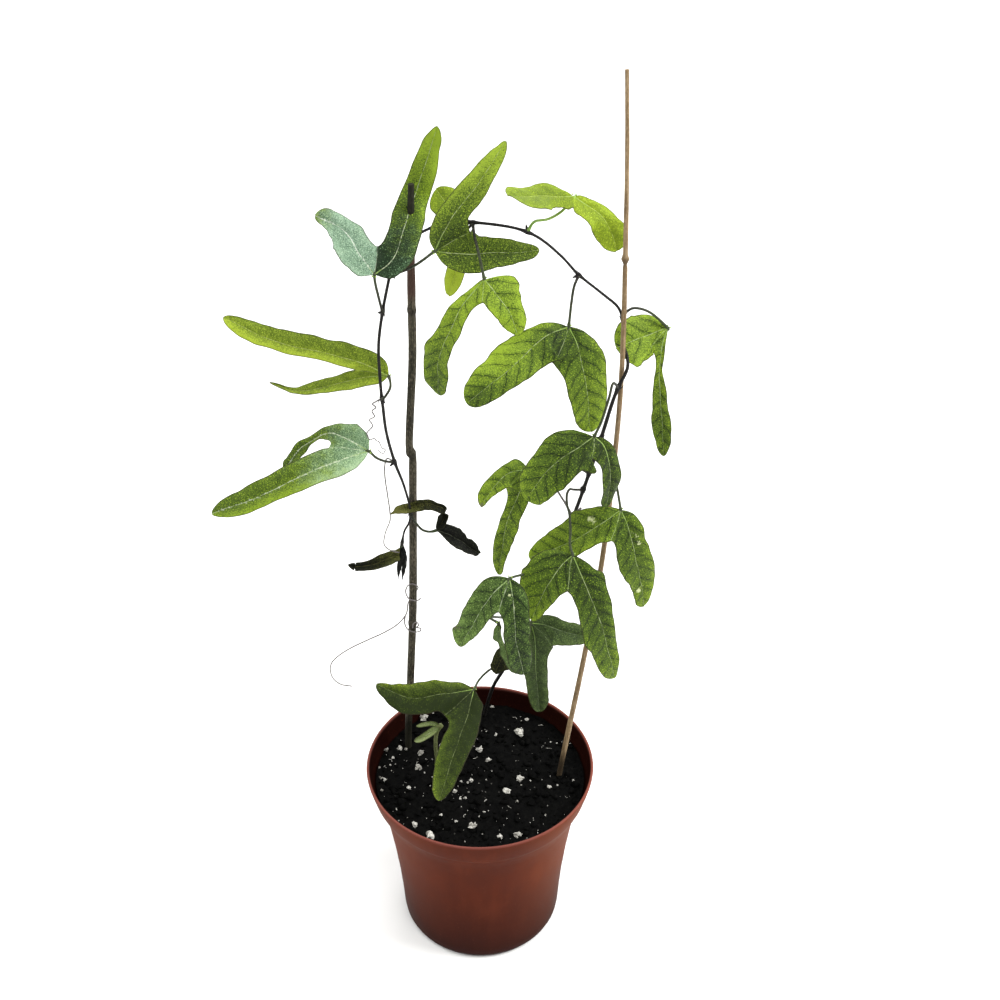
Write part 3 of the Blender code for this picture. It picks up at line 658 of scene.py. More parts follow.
# line: place and radius; rings: height of a node and its swelling; damp and bare: heights below
# which the rod is damp and between which it has lost its skin
canes = {
    "leftCane": {
        "node": "left_cane", "slot": "dark_cane", "skin": darkBamboo,
        "line": """
            -37.8 18.5 45 1.8, -39.3 22 97 1.85, -36.6 22.6 145 1.95, -33.6 23.6 198 2.05,
            -31.1 24.4 276 1.95, -31 24.6 284 1.95, -32.2 24.8 289 1.9, -31.9 24.8 299 1.85,
            -29.3 25.2 337 1.9, -28.7 25.6 367 1.9, -28 25.8 398 1.7, -27.1 26 421.5 1.35""",
        "rings": [(286.5, 0.6), (183.0, 0.3), (362.0, 0.3)], "damp": 125.0,
        "bare": (366.0, 396.0)},
    "rightCane": {
        "node": "right_cane", "slot": "pale_cane", "skin": paleBamboo,
        "line": """
            34 -2 28 1.4, 42.1 0.4 97 1.4, 53.1 2 180 1.35, 60 3.5 242 1.3, 63.8 5 309 1.2,
            64.5 6 352 1.15, 63.6 6.8 396 1.1, 62.2 7.4 442 0.95, 60.5 8 477 0.85""",
        "rings": [(396.0, 0.7), (214.0, 0.35)], "damp": 118.0},
}


def makeCane(name, cane):
    given = rows(cane["line"])
    widths = [(height, radius) for x, y, height, radius in given]
    points = smoothRoute([row[:3] for row in given], 1.2)
    radii = []
    for p in points:
        radius = between(widths, p.z)
        for height, swell in cane["rings"]:
            off = p.z - height
            radius += swell * (hill(off, 1.3) - 0.45 * hill(off + 2.4, 0.9))
        radii.append(radius * (1 + 0.05 * noise.noise(Vector((0, 3, p.z / 9)))))
    obj = addTube(points, radii, 4)
    low, high = cane.get("bare", (600, 601))
    values = []
    for vert in obj.data.vertices:
        z = vert.co.z / mm
        ring = max(hill(z - height + 1.0, 2.2) for height, swell in cane["rings"])
        damp = max(held((cane["damp"] - z) / 11), held((z - high - 2) / 3))
        bare = held((z - low) / 5) if z < high + 4 else 0.0
        values.append((0.75 * ring, 0.85 * damp, 0.75 * bare))
    paint(obj, "caneMap", values)
    finishPiece(joinPieces(name, [obj], cane["skin"]), cane["slot"], cane["node"])


for name, cane in canes.items():
    makeCane(name, cane)
print("canes made")

blade = {
    "rows": 52, "columns": 12,
    "thickness": 0.34,
    "stalkRadius": 0.62,
    "ribRadius": 0.42, "ribTaper": 0.32, "ribShare": 0.93, "ribPieces": 36,
    "widestHalfAngle": math.radians(72),    # of the two midribs against each other
    "quilt": 0.42,           # mm that the skin bulges between two side veins
    "wave": 0.5, "waveLength": 19.0,
    "tipStart": 0.72,        # share of a lobe's length where it begins to round off
    "facing": "0 -0.8 0.6, 0 -0.8 0.6, 0 -0.8 0.6",
    # how far along a lobe the half widths of its outline are given
    "stations": (0.05, 0.12, 0.2, 0.3, 0.4, 0.5, 0.6, 0.7, 0.8, 0.88, 0.95),
}
# stalk: places from the stem to the base of the blade; lobes: their midribs from there;
# outline: for each lobe its outer and its inner half, in percent of a plain one; widths: plain
# half widths; sinus: depth of the notch; looks: one for each lobe; tones: lightness of a lobe at
# base and tip, more outwards, more in the middle, partly painted light and shade; facing: at the
# base and at each tip; pale and dry: marks with their size; shreds: loose strips, places and radii
leaves = {
    "leaf_top_left": dict(
        stalk="-41 15.5 366, -42 13 374, -43 10 383, -43 8 388",
        lobes=["-50 18 393, -57 30 398, -71 42 400",
               """-35.1 10 394.5, -31.7 14.5 401.1, -29.9 19 405, -28.5 24.5 408.3,
                  -27.4 28.5 411.1, -25 31.5 416.9, -21 32 428.2, -15.8 31 445.1"""],
        outline="""
            141 120 119 126 126 127 115 93 61 50 55,
            98 98 98 98 98 102 88 85 90 104 117,
            120 112 120 115 110 105 100 99 84 82 90,
            91 91 91 92 103 96 93 92 85 84 87""",
        widths=(7.5, 7.2), sinus=1.34, looks="silvery silverFoot",
        tones="0.52 0.52 0, 0.08 1.1 0.12", facing="0 -0.8 0.6, -0.2 -0.7 0.7, 0.1 -1 0.1"),
    "leaf_top_middle": dict(
        stalk="-37 17 384, -32 15 386, -25 12 391, -17 8 399",
        lobes=["-10 7 414, 2 8 430, 13 12 446",
               "-7 9 397.5, 2 11 396.5, 15 14 395.5, 27.5 19 394.5"],
        outline="""
            111 105 105 105 105 108 108 94 92 81 55,
            141 141 141 141 95 103 95 81 81 79 78,
            117 124 133 143 142 125 110 98 85 86 88,
            52 52 52 52 52 85 96 96 90 83 78""",
        widths=(6.4, 6.4), sinus=1.81, looks="grained grained",
        tones="0.36 1 0.1, 0.5 0.48 -0.06", facing="0 -0.9 0.4, 0 -1 0.2, 0 -0.8 0.6"),
    "leaf_arch_back": dict(
        stalk="-3 14.5 409.5, -4 18 409, -5 21 405",
        lobes=["-10 26 410, -17 34 416", "-6.5 24 391, -12.3 28 368"],
        outline="""
            130 130 130 130 130 130 130 130 120 110 100,
            130 130 130 130 130 130 130 130 120 110 100,
            100,
            100""",
        widths=(6.5, 4.8), sinus=1.25, looks="lime lime", tones="0.15 0.3 0, 0.75 0.95 0",
        green=True),
    "leaf_arch_front": dict(
        stalk="-1 13.5 409.5, 0 9 405, 2 4 398, 4 0 390",
        lobes=["-3 -4 383, -10 -7 371, -16 -4 353, -17 2 332", "9 -6 386, 15 -9 379, 18 -11 369"],
        outline="""
            36 44 64 87 103 120 144 143 133 142 130,
            74 74 74 77 94 85 93 97 103 108 125,
            220 220 211 189 172 129 103 104 105 98 98,
            109 109 109 109 114 116 112 103 94 82 67""",
        widths=(6, 7.2), sinus=1.17, tones="0.78 0.46 0, 0.68 0.78 0",
        facing="0 -0.6 0.8, -0.3 -0.9 0.3, 0.2 -0.9 0.4"),
    "leaf_arch_top": dict(
        stalk="22 6.5 408.5, 25 9 412, 31 14 411, 37 18 413, 41.8 20 418.6",
        lobes=["34.2 17 419.6, 27.9 13 422, 20.9 7 424, 13.6 0 427.6",
               "48.1 20 414, 54.5 19 409, 58.2 17 402.8, 60.2 14 396"],
        outline="""
            100 98 112 110 108 97 100 110 110 110 110,
            101 101 64 74 108 146 135 130 130 130 130,
            75 62 57 65 72 78 86 108 105 105 110,
            91 91 80 86 101 111 110 106 105 105 110""",
        widths=(7.2, 7.2), sinus=0.82, looks="lime lime", tones="0.28 0.3 0, 0.44 0.42 0",
        facing="0 -0.5 0.85, -0.1 -0.35 0.93, -0.3 -0.5 0.8", green=True),
    "leaf_centre": dict(
        stalk="44 4 390, 42 1 386, 41 -1 380, 40 -3 369",
        lobes=["30 -8 367, 19 -14 359, 7 -19 350, -4 -20 341", "44 -4 360, 48 -6 343, 51 -5 317"],
        outline="""
            67 67 82 100 118 125 128 121 118 117 128,
            88 88 88 88 88 97 91 85 80 84 89,
            88 96 115 127 134 131 125 119 109 116 110,
            100 100 100 100 102 108 110 105 97 104 104""",
        widths=(9.6, 8.8), sinus=1.57, tones="0.28 0.46 0.2 0.36, 0.3 0.7 0.06 0.1",
        facing="0 -0.6 0.8, -0.2 -0.8 0.5, 0.3 -0.9 0.4"),
    "leaf_right": dict(
        stalk="64 9 366, 66 11 369, 70 13 369.5, 77 17 365, 85.3 20 356",
        lobes=["79.6 18.5 354.7, 73.2 15.5 353.3, 67.2 12.5 352.5, 62.3 11 350.8",
               "83.5 17 351, 82.2 13 345, 81.8 10 338, 82.8 8 328, 84 6 316, 85.6 4 298"],
        outline="""
            130 140 145 145 145 145 140 135 135 130 130,
            129 129 129 129 129 130 135 150 160 150 130,
            32 36 37 32 54 75 82 99 115 129 110,
            39 39 39 39 61 85 99 129 120 97 110""",
        widths=(9, 4.6), sinus=1.2, tones="0.66 0.7 0, 0.6 0.42 0",
        facing="0 -0.7 0.6, -0.1 -0.9 0.4, -0.5 -0.9 0.1"),
    "leaf_mid_upper": dict(
        stalk="63 1.8 336, 60 -5 342, 58 -11 338, 55 -14 328, 52 -15 321",
        lobes=["46 -18 318, 38 -21 313.5, 30 -23 306, 22 -24 293",
               "56.5 -16 316, 60 -16 303, 59 -15 283"],
        outline="""
            130 142 135 137 134 128 115 110 110 105 100,
            190 190 190 119 118 125 128 115 113 112 126,
            60 60 70 80 90 100 110 115 115 110 110,
            75 75 75 75 75 80 85 90 100 110 110""",
        widths=(9.8, 6.2), sinus=1.36, tones="0.24 0.62 0.05, 0.22 0.24 0",
        facing="0 -0.6 0.8, -0.2 -0.8 0.6, 0.7 -0.6 0.4"),
    "leaf_mid_left": dict(
        stalk="52 6.5 287, 44 4 293, 34 0 298, 24 -4 296",
        lobes=["15 -8 297, 8 -10 291, 2 -12 281", "18 -7 281, 13 -9 266, 10 -8 239"],
        outline="""
            120 140 144 108 101 107 109 114 115 120 120,
            82 82 82 82 82 82 82 68 50 50 60,
            115 115 115 115 123 135 125 92 73 69 88,
            74 74 74 74 68 79 92 98 102 110 110""",
        widths=(4.8, 5.2), sinus=1.75, tones="0.55 0.7 0, 0.54 0.56 0",
        facing="0 -0.6 0.8, -0.2 -0.7 0.7, -0.4 -0.9 0.2", dry="1 -12 281 3.4, -1 -11 284 2.4"),
    "leaf_lower_right": dict(
        stalk="56.5 3.5 308, 60 -2 303, 63 -7 293, 66 -10 278",
        lobes=["59 -13 274, 48 -13 265, 36 -12 257, 24 -9 250",
               "70 -13 269, 74 -15 253, 80 -12 223"],
        outline="""
            110 110 110 130 150 129 123 114 100 100 100,
            88 88 88 88 93 95 100 100 100 100 100,
            98 92 93 82 101 110 112 111 94 76 67,
            114 114 114 114 123 121 107 80 75 81 97""",
        widths=(9, 8.4), sinus=1.2, tones="0.5 0.76 0, 0.38 0.58 0.05",
        facing="0 -0.6 0.8, 0 -0.7 0.7, 0.3 -0.9 0.3",
        pale="""71 -12 267.5 1.5, 73 -13 265.5 1.6, 75 -14 262 1.4, 76 -14 234 1.7, 73 -14 236 1.5,
            78 -14 236 1.2, 52 -11 273.5 2, 53.5 -11 273 1.8"""),
    "leaf_lower_middle": dict(
        stalk="""
            49.6 8.1 276.6, 45.1 5 278.8, 43 1 281.8, 41.6 -3 282.4, 41.2 -7 281.8,
            41.4 -11 280.7, 42.2 -15 279.1, 42.7 -19.5 273.4, 42.6 -22 266.7, 44 -22 261""",
        lobes=["38 -25 256, 31.4 -28 245.3, 25 -29 228.2",
               "49 -26 250, 56 -29 232, 62 -29 210, 66 -27 190"],
        outline="""
            140 150 160 160 148 158 142 125 115 110 100,
            99 99 99 99 99 83 76 64 55 55 55,
            73 91 135 118 110 94 83 75 65 62 66,
            91 91 91 108 124 135 148 118 117 116 122""",
        widths=(10.5, 8.2), sinus=1.23, tones="0.28 0.76 0.05, 0.24 0.56 0",
        facing="0 -0.6 0.8, -0.3 -0.8 0.5, 0.3 -0.9 0.4",
        pale="37 -28 247 1.6, 40 -28 246.5 1.6"),
    "leaf_lower_left": dict(
        stalk="39 16 235, 34 4 236, 29 -9 240, 22 -21 249, 15 -29 253",
        lobes=["8 -33 248, 1 -35 237, -8 -35 217", "17 -37 242, 18 -40 225, 22 -38 202"],
        outline="""
            110 113 115 116 112 115 115 112 110 140 130,
            91 91 91 91 91 83 80 73 61 50 55,
            105 110 110 110 110 110 105 100 100 100 100,
            98 98 98 98 80 85 90 90 100 100 100""",
        widths=(7.5, 7.2), sinus=1.12, looks="dark dark", tones="0.46 0.66 0, 0.4 0.32 0",
        facing="0 -0.6 0.8, -0.4 -0.8 0.4, 0.2 -0.9 0.4",
        pale="""6 -31.5 249 1.2, 8.5 -32 247.5 1.1, 15 -34 247 1.1, 17 -36 242 1.2, 18 -37 238 1.1,
            18 -38 233 1.1""",
        dry="-10 -33.5 227 3, -11 -34 230 2.4"),
    "leaf_shaded": dict(
        stalk="31 23 205, 32 14 209, 29 4 210, 26 -2 204",
        lobes=["28 -6 194, 28.5 -7 175, 31 -3 146", "33 -5 205, 42 -7 203, 55 -8 200"],
        outline="""
            100 100 100 100 100 105 101 100 100 100 100,
            91 91 91 91 100 107 112 107 107 128 128,
            99 99 99 93 90 84 86 94 94 94 94,
            100 100 100 100 100 100 109 106 98 95 95""",
        widths=(6.2, 7.2), sinus=1.65, looks="shaded shaded", tones="0.5 0.42 0, 0.46 0.55 0",
        facing="0 -0.6 0.8, 0 -0.8 0.5, 0.2 -0.6 0.8"),
    "leaf_low_back": dict(
        stalk="22 30 173, 18 29 171, 14 27 165",
        lobes=["12 24 160, 8 21 151", "18 24 160, 22 22 152"],
        outline="""
            130 130 130 130 130 130 130 130 140 130 120,
            80,
            100,
            80""",
        widths=(3.8, 3.8), sinus=1.57, looks="dryOlive dryOlive", tones="0.2 0.1 0, 0.2 0.1 0"),
    "leaf_pot_rim": dict(
        stalk="14 37 143, 6 30 146, 0 22 146, -3 14 146",
        lobes=["-18 6 150, -36 5 148, -53 8 155", "-6 0 141, -12 -20 136, -20 -40 120"],
        outline="""
            73 82 87 98 122 125 133 110 89 57 55,
            99 99 99 99 99 130 131 127 115 97 99,
            68 99 88 96 107 103 99 88 76 84 80,
            91 91 91 91 91 106 110 108 102 101 119""",
        widths=(7.6, 8.6), sinus=1.46, looks="rim rim", tones="0.2 0.28 0.26, 0.04 0.34 -0.14",
        facing="0 -0.5 0.85, 0 -0.6 0.8, -0.2 -0.6 0.8"),
    "leaf_left_upper": dict(
        stalk="-43.5 15 322, -41.5 12 325, -39 14 329, -40 19.5 331.5",
        lobes=["-52 21 337.5, -69 22 342, -92 20 350, -111 15 364",
               """-46 20.5 330.9, -59.4 23 326.8, -72.3 26 321.4, -83 28 318.5, -88.2 29 318.8,
                  -96.5 31 321.8"""],
        outline="""
            134 127 120 132 129 130 129 114 104 92 97,
            75 75 75 75 71 75 84 76 98 119 130,
            96 96 103 107 99 85 66 55 42 30 30,
            102 102 102 102 102 104 95 80 50 30 30""",
        widths=(5.8, 4.6), sinus=0.96, looks="olive olive",
        tones="0.6 0.66 -0.22, 0.62 0.52 0.08", facing="0 -0.8 0.6, 0 -0.8 0.6, 0 -0.5 0.85"),
    "leaf_left_lower": dict(
        stalk="-39 17.5 286, -43 15 288, -47 12 292, -50 10 297",
        lobes=["-61 6 295.5, -79 2 289.5, -103 0 277.5, -125 2 267",
               "-58 12 301, -69 19 301, -83 24 290, -93 25 276"],
        outline="""
            87 96 99 93 93 85 79 82 88 92 85,
            112 112 112 112 110 113 103 103 90 91 91,
            180 183 197 139 78 63 67 83 70 88 130,
            76 76 76 76 76 30 37 86 86 86 86""",
        widths=(7.8, 4.6), sinus=1.67, looks="silverBase silverBase",
        tones="0.66 0.56 0.16, 0.56 0.34 0", facing="0 -0.7 0.7, 0 -0.8 0.6, 0 -0.6 0.8"),
    "leaf_withered": dict(
        stalk="-33 20.5 254, -30 17.4 250.4, -27 16 247.6, -23.4 15.2 247, -20 15 248",
        lobes=["""-16.8 16 252.8, -16.3 18 256.4, -19.4 20 258.3, -25.2 21.5 259,
                  -32 21.5 257.2, -38.3 20.5 256.1, -42.9 20 253.7""",
               "-14.6 14 246.8, -9.2 12 244.4, -3.9 11 240.9, 0.8 10 237.8"],
        outline="""
            90 120 148 90 70 90 114 118 120 115 80,
            87 87 87 120 120 148 161 155 145 120 80,
            40 64 90 116 143 145 131 134 119 109 130,
            147 147 147 165 169 138 103 127 130 122 82""",
        widths=(2.4, 3.3), sinus=0.8, looks="dryOlive withered", tones="-0.4 0.95 0, 0.45 0.4 0",
        crumple=0.5),
    "leaf_folded": dict(
        stalk="22 30 173, 17 10 196, 9 -12 216, 6 -20 222, 10 -24 222",
        lobes=["12 -26 212, 19 -27 193"],
        outline="""
            63 25 26 26 26 26 26 26 26 26 26,
            165 171 211 111 131 210 190 169 149 150 130""",
        widths=(2.1,), looks="folded", tones="0.36 0.2 0", fold=0.5),
    "leaf_stem_tip": dict(
        stalk="-37.2 17.5 239, -37.4 17.2 237.5, -37.8 17 236.4",
        lobes=["""-39.5 16.5 232.5, -43.6 14.5 231.4, -47.7 13 230.5, -51.8 11.5 229.7,
                  -55.8 10 230, -59.9 9 230.5, -63.4 8 232.2""",
               "-37.8 16.5 231.3, -38.7 16 225.5, -39.6 15.5 221.5"],
        outline="""
            80 85 90 95 95 90 80 72 68 75 80,
            80 85 90 95 95 90 80 72 68 75 80,
            100,
            100""",
        widths=(3.9, 1), sinus=0.9, looks="dryOlive withered", tones="0.62 -0.4 0, 0.4 0.4 0",
        crumple=0.22,
        shreds=[("-37.4 16.5 235, -38.1 16 229.2, -39.3 15.5 222.8, -40.1 15 217.5",
                 (0.9, 1.3, 0.9, 0.15)),
                ("-36.7 17.2 233.8, -36.5 17 227.8, -37.2 17 221.6, -38.1 16.5 215.7",
                 (1, 1.4, 1, 0.12)),
                ("-36.5 18 233.8, -35.8 19 228.2, -35.6 18.6 224.1",
                 (0.9, 0.5, 0.1)),
                ("-37.4 17.6 236.6, -37.2 17.4 233.1, -37.1 17.2 229.5, -37.8 17 224.7",
                 (1.1, 1.8, 1.5, 0.5))]),
    "young_shoot": dict(
        stalk="-22.5 6 97.4, -23.6 7 110, -23 8 120, -20.5 9 124.5, -21.5 8.5 125",
        lobes=["-26 6.5 122.5, -30 5 120.5, -34.5 3 119", "-26 8.5 127, -33.5 8 125.5"],
        outline="""
            100,
            100,
            100,
            100""",
        widths=(2.3, 1.3), sinus=0.9, looks="young young", tones="0.45 0.65 0.1, 0.35 0.7 0",
        fold=0.35, stout=1.7),
}
for shape in leaves.values():
    shape["lobes"] = [rows(lobe) for lobe in shape["lobes"]]
    shape.setdefault("facing", blade["facing"])
    for key in ("stalk", "outline", "tones", "facing", "pale", "dry"):
        shape[key] = rows(shape[key]) if key in shape else []
    *shape["stalk"], shape["base"] = [Vector(place) for place in shape["stalk"]]
    shape["facing"] = [Vector(way).normalized() for way in shape["facing"]]
    shape["outline"] = [
        [(station, percent / 100) for station, percent in zip(blade["stations"], half * (
            len(blade["stations"]) if len(half) == 1 else 1))] for half in shape["outline"]]


def naturalWidth(shape, k, s, length, inner):
    half, t = shape["widths"][k], s / length
    tip = max(0.0, (t - blade["tipStart"]) / (1 - blade["tipStart"]))
    width = half * (1 - math.exp(-1.7 * s / half)) * (1 - 0.2 * t)
    width *= math.sqrt(max(0.0, 1 - tip ** 2.2))
    return width * between(shape["outline"][2 * k + inner], t)


def rowPlaces(length, meet, meetRow, count):
    # even to the notch, then closer together at the notch and at the tip
    places = [meet * i / meetRow for i in range(meetRow)]
    rest = count - meetRow
    gaps = []
    for i in range(rest):
        x = (i + 0.5) / rest
        gaps.append((1 - 0.6 * math.exp(-9 * x)) * (1 - x) ** 0.55)
    total, run = sum(gaps), 0.0
    places.append(meet)
    for gap in gaps:
        run += gap
        places.append(meet + (length - meet) * run / total)
    return places


def lightness(shape, k, t, u, s):
    # partly the lobe's own tone, partly painted light and shade
    start, tip, lean, *hump = shape["tones"][k]
    return start + (tip - start) * t ** 1.2 + lean * u * min(1.0, s / 8) \
        + sum(hump) * math.sin(math.pi * t) ** 2


def sway(spot, seed):
    # a slow wander of the whole blade, the same for its midribs
    return noise.noise_vector(spot / 9 + up * seed) * 0.5


def bladeSheets(shape, seed):
    base, facing, crumple = shape["base"], shape["facing"], shape.get("crumple", 0.0)
    two = len(shape["lobes"]) == 2
    lines = [measured([base] + lobe) for lobe in shape["lobes"]]
    starts = [(Vector(lobe[0]) - base).normalized() for lobe in shape["lobes"]]
    rowCount, columns = blade["rows"], blade["columns"]
    meet = meetWidth = tangent = 0.0
    meetRow = 0
    if two:
        half = min(starts[0].angle(starts[1]) / 2, blade["widestHalfAngle"])
        reach = shape["sinus"] * min(shape["widths"]) / math.sin(half)
        meet, meetWidth, tangent = reach * math.cos(half), reach * math.sin(half), math.tan(half)
        meetRow = max(3, round(meet / 1.3))
    spread = []
    for j in range(columns + 1):
        x = 2 * j / columns - 1
        spread.append(math.copysign(abs(x) ** 1.2, x))
    tables = []
    for k, line in enumerate(lines):
        length = line[1][-1]
        outward = starts[k] - starts[1 - k] if two else up
        table = []
        for i, s in enumerate(rowPlaces(length, meet, meetRow, rowCount)):
            t = s / length
            middle, way = placeAt(line, s), wayAt(line, s)
            look = facing[0].lerp(facing[1 + k], t)
            sideways = way.cross(look).normalized()
            if sideways.dot(outward) < 0:
                sideways = -sideways
            normal = way.cross(sideways).normalized()
            if normal.dot(look) < 0:
                normal = -normal
            jag = 1 + 0.05 * noise.noise(Vector((s / 7, k * 5.0, seed))) \
                + 0.03 * noise.noise(Vector((s / 2.5, k * 5.0, seed + 9)))
            outer, inner = [naturalWidth(shape, k, s, length, side) * jag for side in (0, 1)]
            if two and i <= meetRow:
                inner = s * tangent
            elif two:
                extra = max(0.3, meetWidth - naturalWidth(shape, k, meet, length, 1))
                inner += extra * math.exp(-(s - meet) / max(0.8, extra * tangent))
            row = []
            for u in spread:
                width = outer if u > 0 else inner
                across = u * width
                a = abs(across)
                # the skin: bulged between side veins, folded, waved and sunk at the midrib
                beat = (s - a * leafDetail["sideVeinSlant"]
                        - a * a * leafDetail["sideVeinCurve"]) / leafDetail["sideVeinGap"]
                beat += 0.5 if u > 0 else 0.0
                swell = abs(math.sin(math.pi * beat)) ** 0.8
                swell = swell * min(1.0, a / 2.5) * (1 - abs(u) ** 3)
                lift = blade["quilt"] * swell
                lift += shape.get("fold", 0.12) * a - 0.009 * a * a
                lift += blade["wave"] * abs(u) ** 1.6 * math.sin(
                    fullTurn * s / blade["waveLength"] + seed * 2.1 + k * 2
                    + (1.7 if u > 0 else 0))
                lift -= 0.12 * hill(a, 0.7)
                spot = middle + sideways * across + normal * lift
                bend = sway(spot, seed)
                if crumple:
                    bend += noise.noise_vector(spot / 3.2 + up * seed) * crumple
                    spot += normal * a * 0.5
                spot += bend * min(1.0, s / 6)
                # distances from the margin and from the short vein to the notch
                inwards = width * (1 - abs(u))
                if u < 0 and two and i <= meetRow:
                    edge, centre = inwards + (meet - s) * 0.8, inwards * 0.8
                elif two:
                    edge = inwards
                    centre = inner * 0.8 + across if u >= 0 else inwards * 0.8 + (s - meet) * 1.5
                    if i > meetRow and u >= 0:
                        centre += (s - meet) * 1.5
                else:
                    edge, centre = inwards, 9.0
                marks = [max([0.0] + [hill((spot - Vector(place)).length, size)
                                      for *place, size in shape[kind]])
                         for kind in ("pale", "dry")]
                row.append([spot, (s, across, edge), (centre, t, lightness(shape, k, t, u, s)),
                            (*marks, 0)])
            table.append(row)
        tables.append(table)
    if two:
        # the two lobes share one line from the base to the notch
        for i in range(meetRow + 1):
            a, b = tables[0][i][0][0], tables[1][i][0][0]
            shared = (a + b) / 2
            for table, old in ((tables[0], a.copy()), (tables[1], b.copy())):
                for j, u in enumerate(spread):
                    if u < 0:
                        table[i][j][0] = table[i][j][0] + (shared - old) * u * u
    sheets = []
    for k, (look, table) in enumerate(zip(shape.get("looks", "mature mature").split(), tables)):
        bpy.ops.mesh.primitive_grid_add(x_subdivisions=columns, y_subdivisions=rowCount, size=2,
                                        calc_uvs=False)
        sheet = bpy.context.object
        maps = []
        for vert in sheet.data.vertices:
            spot, *values = table[round((vert.co.y + 1) / 2 * rowCount)][
                round((vert.co.x + 1) / 2 * columns)]
            vert.co = spot * mm
            maps.append(values)
        for mapName, values in zip(("leafMap", "webMap", "markMap"), zip(*maps)):
            paint(sheet, mapName, list(values))
        # the upper side is the one that faces the light
        sheet.data.update()
        total = sum((face.normal * face.area for face in sheet.data.polygons), Vector())
        if total.dot(facing[0] + facing[1 + k]) < 0:
            bpy.ops.object.mode_set(mode="EDIT")
            bpy.ops.mesh.select_all(action="SELECT")
            bpy.ops.mesh.flip_normals()
            bpy.ops.object.mode_set(mode="OBJECT")
        sheet.data.materials.append(tops[look])
        sheet.data.materials.append(unders[look])
        sheets.append(sheet)
    return sheets, lines, starts


def makeStalk(points, radii, skin, share=None):
    # a rod with a skin that changes from its start to its end, or has one share all along
    rod = addTube(points, radii, 1 if share else 2)
    coat(rod, skin)
    values = (share, 0, 0)
    if not share:
        values = [(min(range(len(points)), key=lambda i: (points[i] * mm - vert.co).length)
                   / (len(points) - 1), 0, 0) for vert in rod.data.vertices]
    paint(rod, "leafMap", values)
    return rod


def makeLeaf(name, shape, seed):
    sheets, lines, starts = bladeSheets(shape, seed)
    leaf = joinPieces(name, sheets)
    closeMesh(leaf, 0.02, outwards=False)
    thick = leaf.modifiers.new("thickness", "SOLIDIFY")
    thick.thickness = blade["thickness"] * mm
    thick.offset = -1
    thick.material_offset = 1
    thick.material_offset_rim = 0
    smooth = leaf.modifiers.new("smooth", "SUBSURF")
    smooth.levels = smooth.render_levels = 1
    applyModifiers(leaf)
    # stalk, thicker at both ends, then on under the blade as the midribs
    base, facing, crumpled = shape["base"], shape["facing"][0], shape.get("crumple")
    way = sum(starts, Vector())
    way = way.normalized() if way.length > 0.5 else starts[1]
    under = base - facing * 0.35
    line = measured(shape["stalk"] + [under, under + way * 1.6 - facing * 0.1], 0.4)
    length = line[1][-1]
    count = max(12, round(length / 0.6))
    points, radii = [], []
    for i in range(count + 1):
        s = length * i / count
        points.append(placeAt(line, s))
        flare = 1 + 0.55 * hill(s, 1.6) + 0.3 * hill(length - s - 2.4, 1.3)
        radii.append(blade["stalkRadius"] * shape.get("stout", 1.0) * flare
                     * (0.75 + 0.25 * min(1, max(0.3, (length - s) / 1.5))))
    skin = shootSkin if "stout" in shape else greenStalk if "green" in shape else darkStalk
    parts = [leaf, makeStalk(points, radii, skin)]
    for k, lobe in enumerate(() if crumpled else lines):
        ribLength = lobe[1][-1] * blade["ribShare"]
        points, radii = [], []
        for i in range(blade["ribPieces"] + 1):
            s = 0.3 + ribLength * i / blade["ribPieces"]
            t = s / lobe[1][-1]
            spot = placeAt(lobe, s)
            spot += sway(spot, seed) * min(1.0, s / 6)
            normal = facing.lerp(shape["facing"][1 + k], t).normalized()
            points.append(spot - normal * blade["ribRadius"])
            radii.append(blade["ribRadius"] - blade["ribTaper"] * t)
        parts.append(makeStalk(points, radii, greenStalk, 0.5))
    # two small glands where the stalk meets the blade
    for turn in () if crumpled else (-1, 1):
        side = way.cross(facing).normalized() * turn
        gland = addLump(base - way * 0.8 + side * 0.75, (0.42, 0.42, 0.42), 3 + turn, 0.1)
        coat(gland, greenStalk)
        paint(gland, "leafMap", (0.8, 0, 0))
        parts.append(gland)
    for places, widths in shape.get("shreds", ()):
        route = smoothRoute(rows(places), 0.9)
        last = len(route) - 1
        widths = [(i / (len(widths) - 1), radius) for i, radius in enumerate(widths)]
        strip = addTube(route, [between(widths, i / last) for i in range(last + 1)])
        for vert in strip.data.vertices:
            vert.co += noise.noise_vector(vert.co / (1.6 * mm)) * 0.3 * mm
        paint(strip, "leafMap", (9, 3, 3))
        paint(strip, "webMap", (9, 0, 0.2))
        coat(strip, tops["withered"])
        parts.append(strip)
    return joinPieces(pieceName(name, "Blade"), parts)


leafSlots = {"leaf_withered": "withered_leaf", "leaf_stem_tip": "withered_leaf",
             "leaf_arch_back": "young_leaf", "leaf_arch_top": "young_leaf",
             "young_shoot": "young_leaf"}
for seed, (name, shape) in enumerate(leaves.items()):
    finishPiece(makeLeaf(name, shape, seed), leafSlots.get(name, "leaf"), name, crease=60)
print("leaves made:", len(leaves))

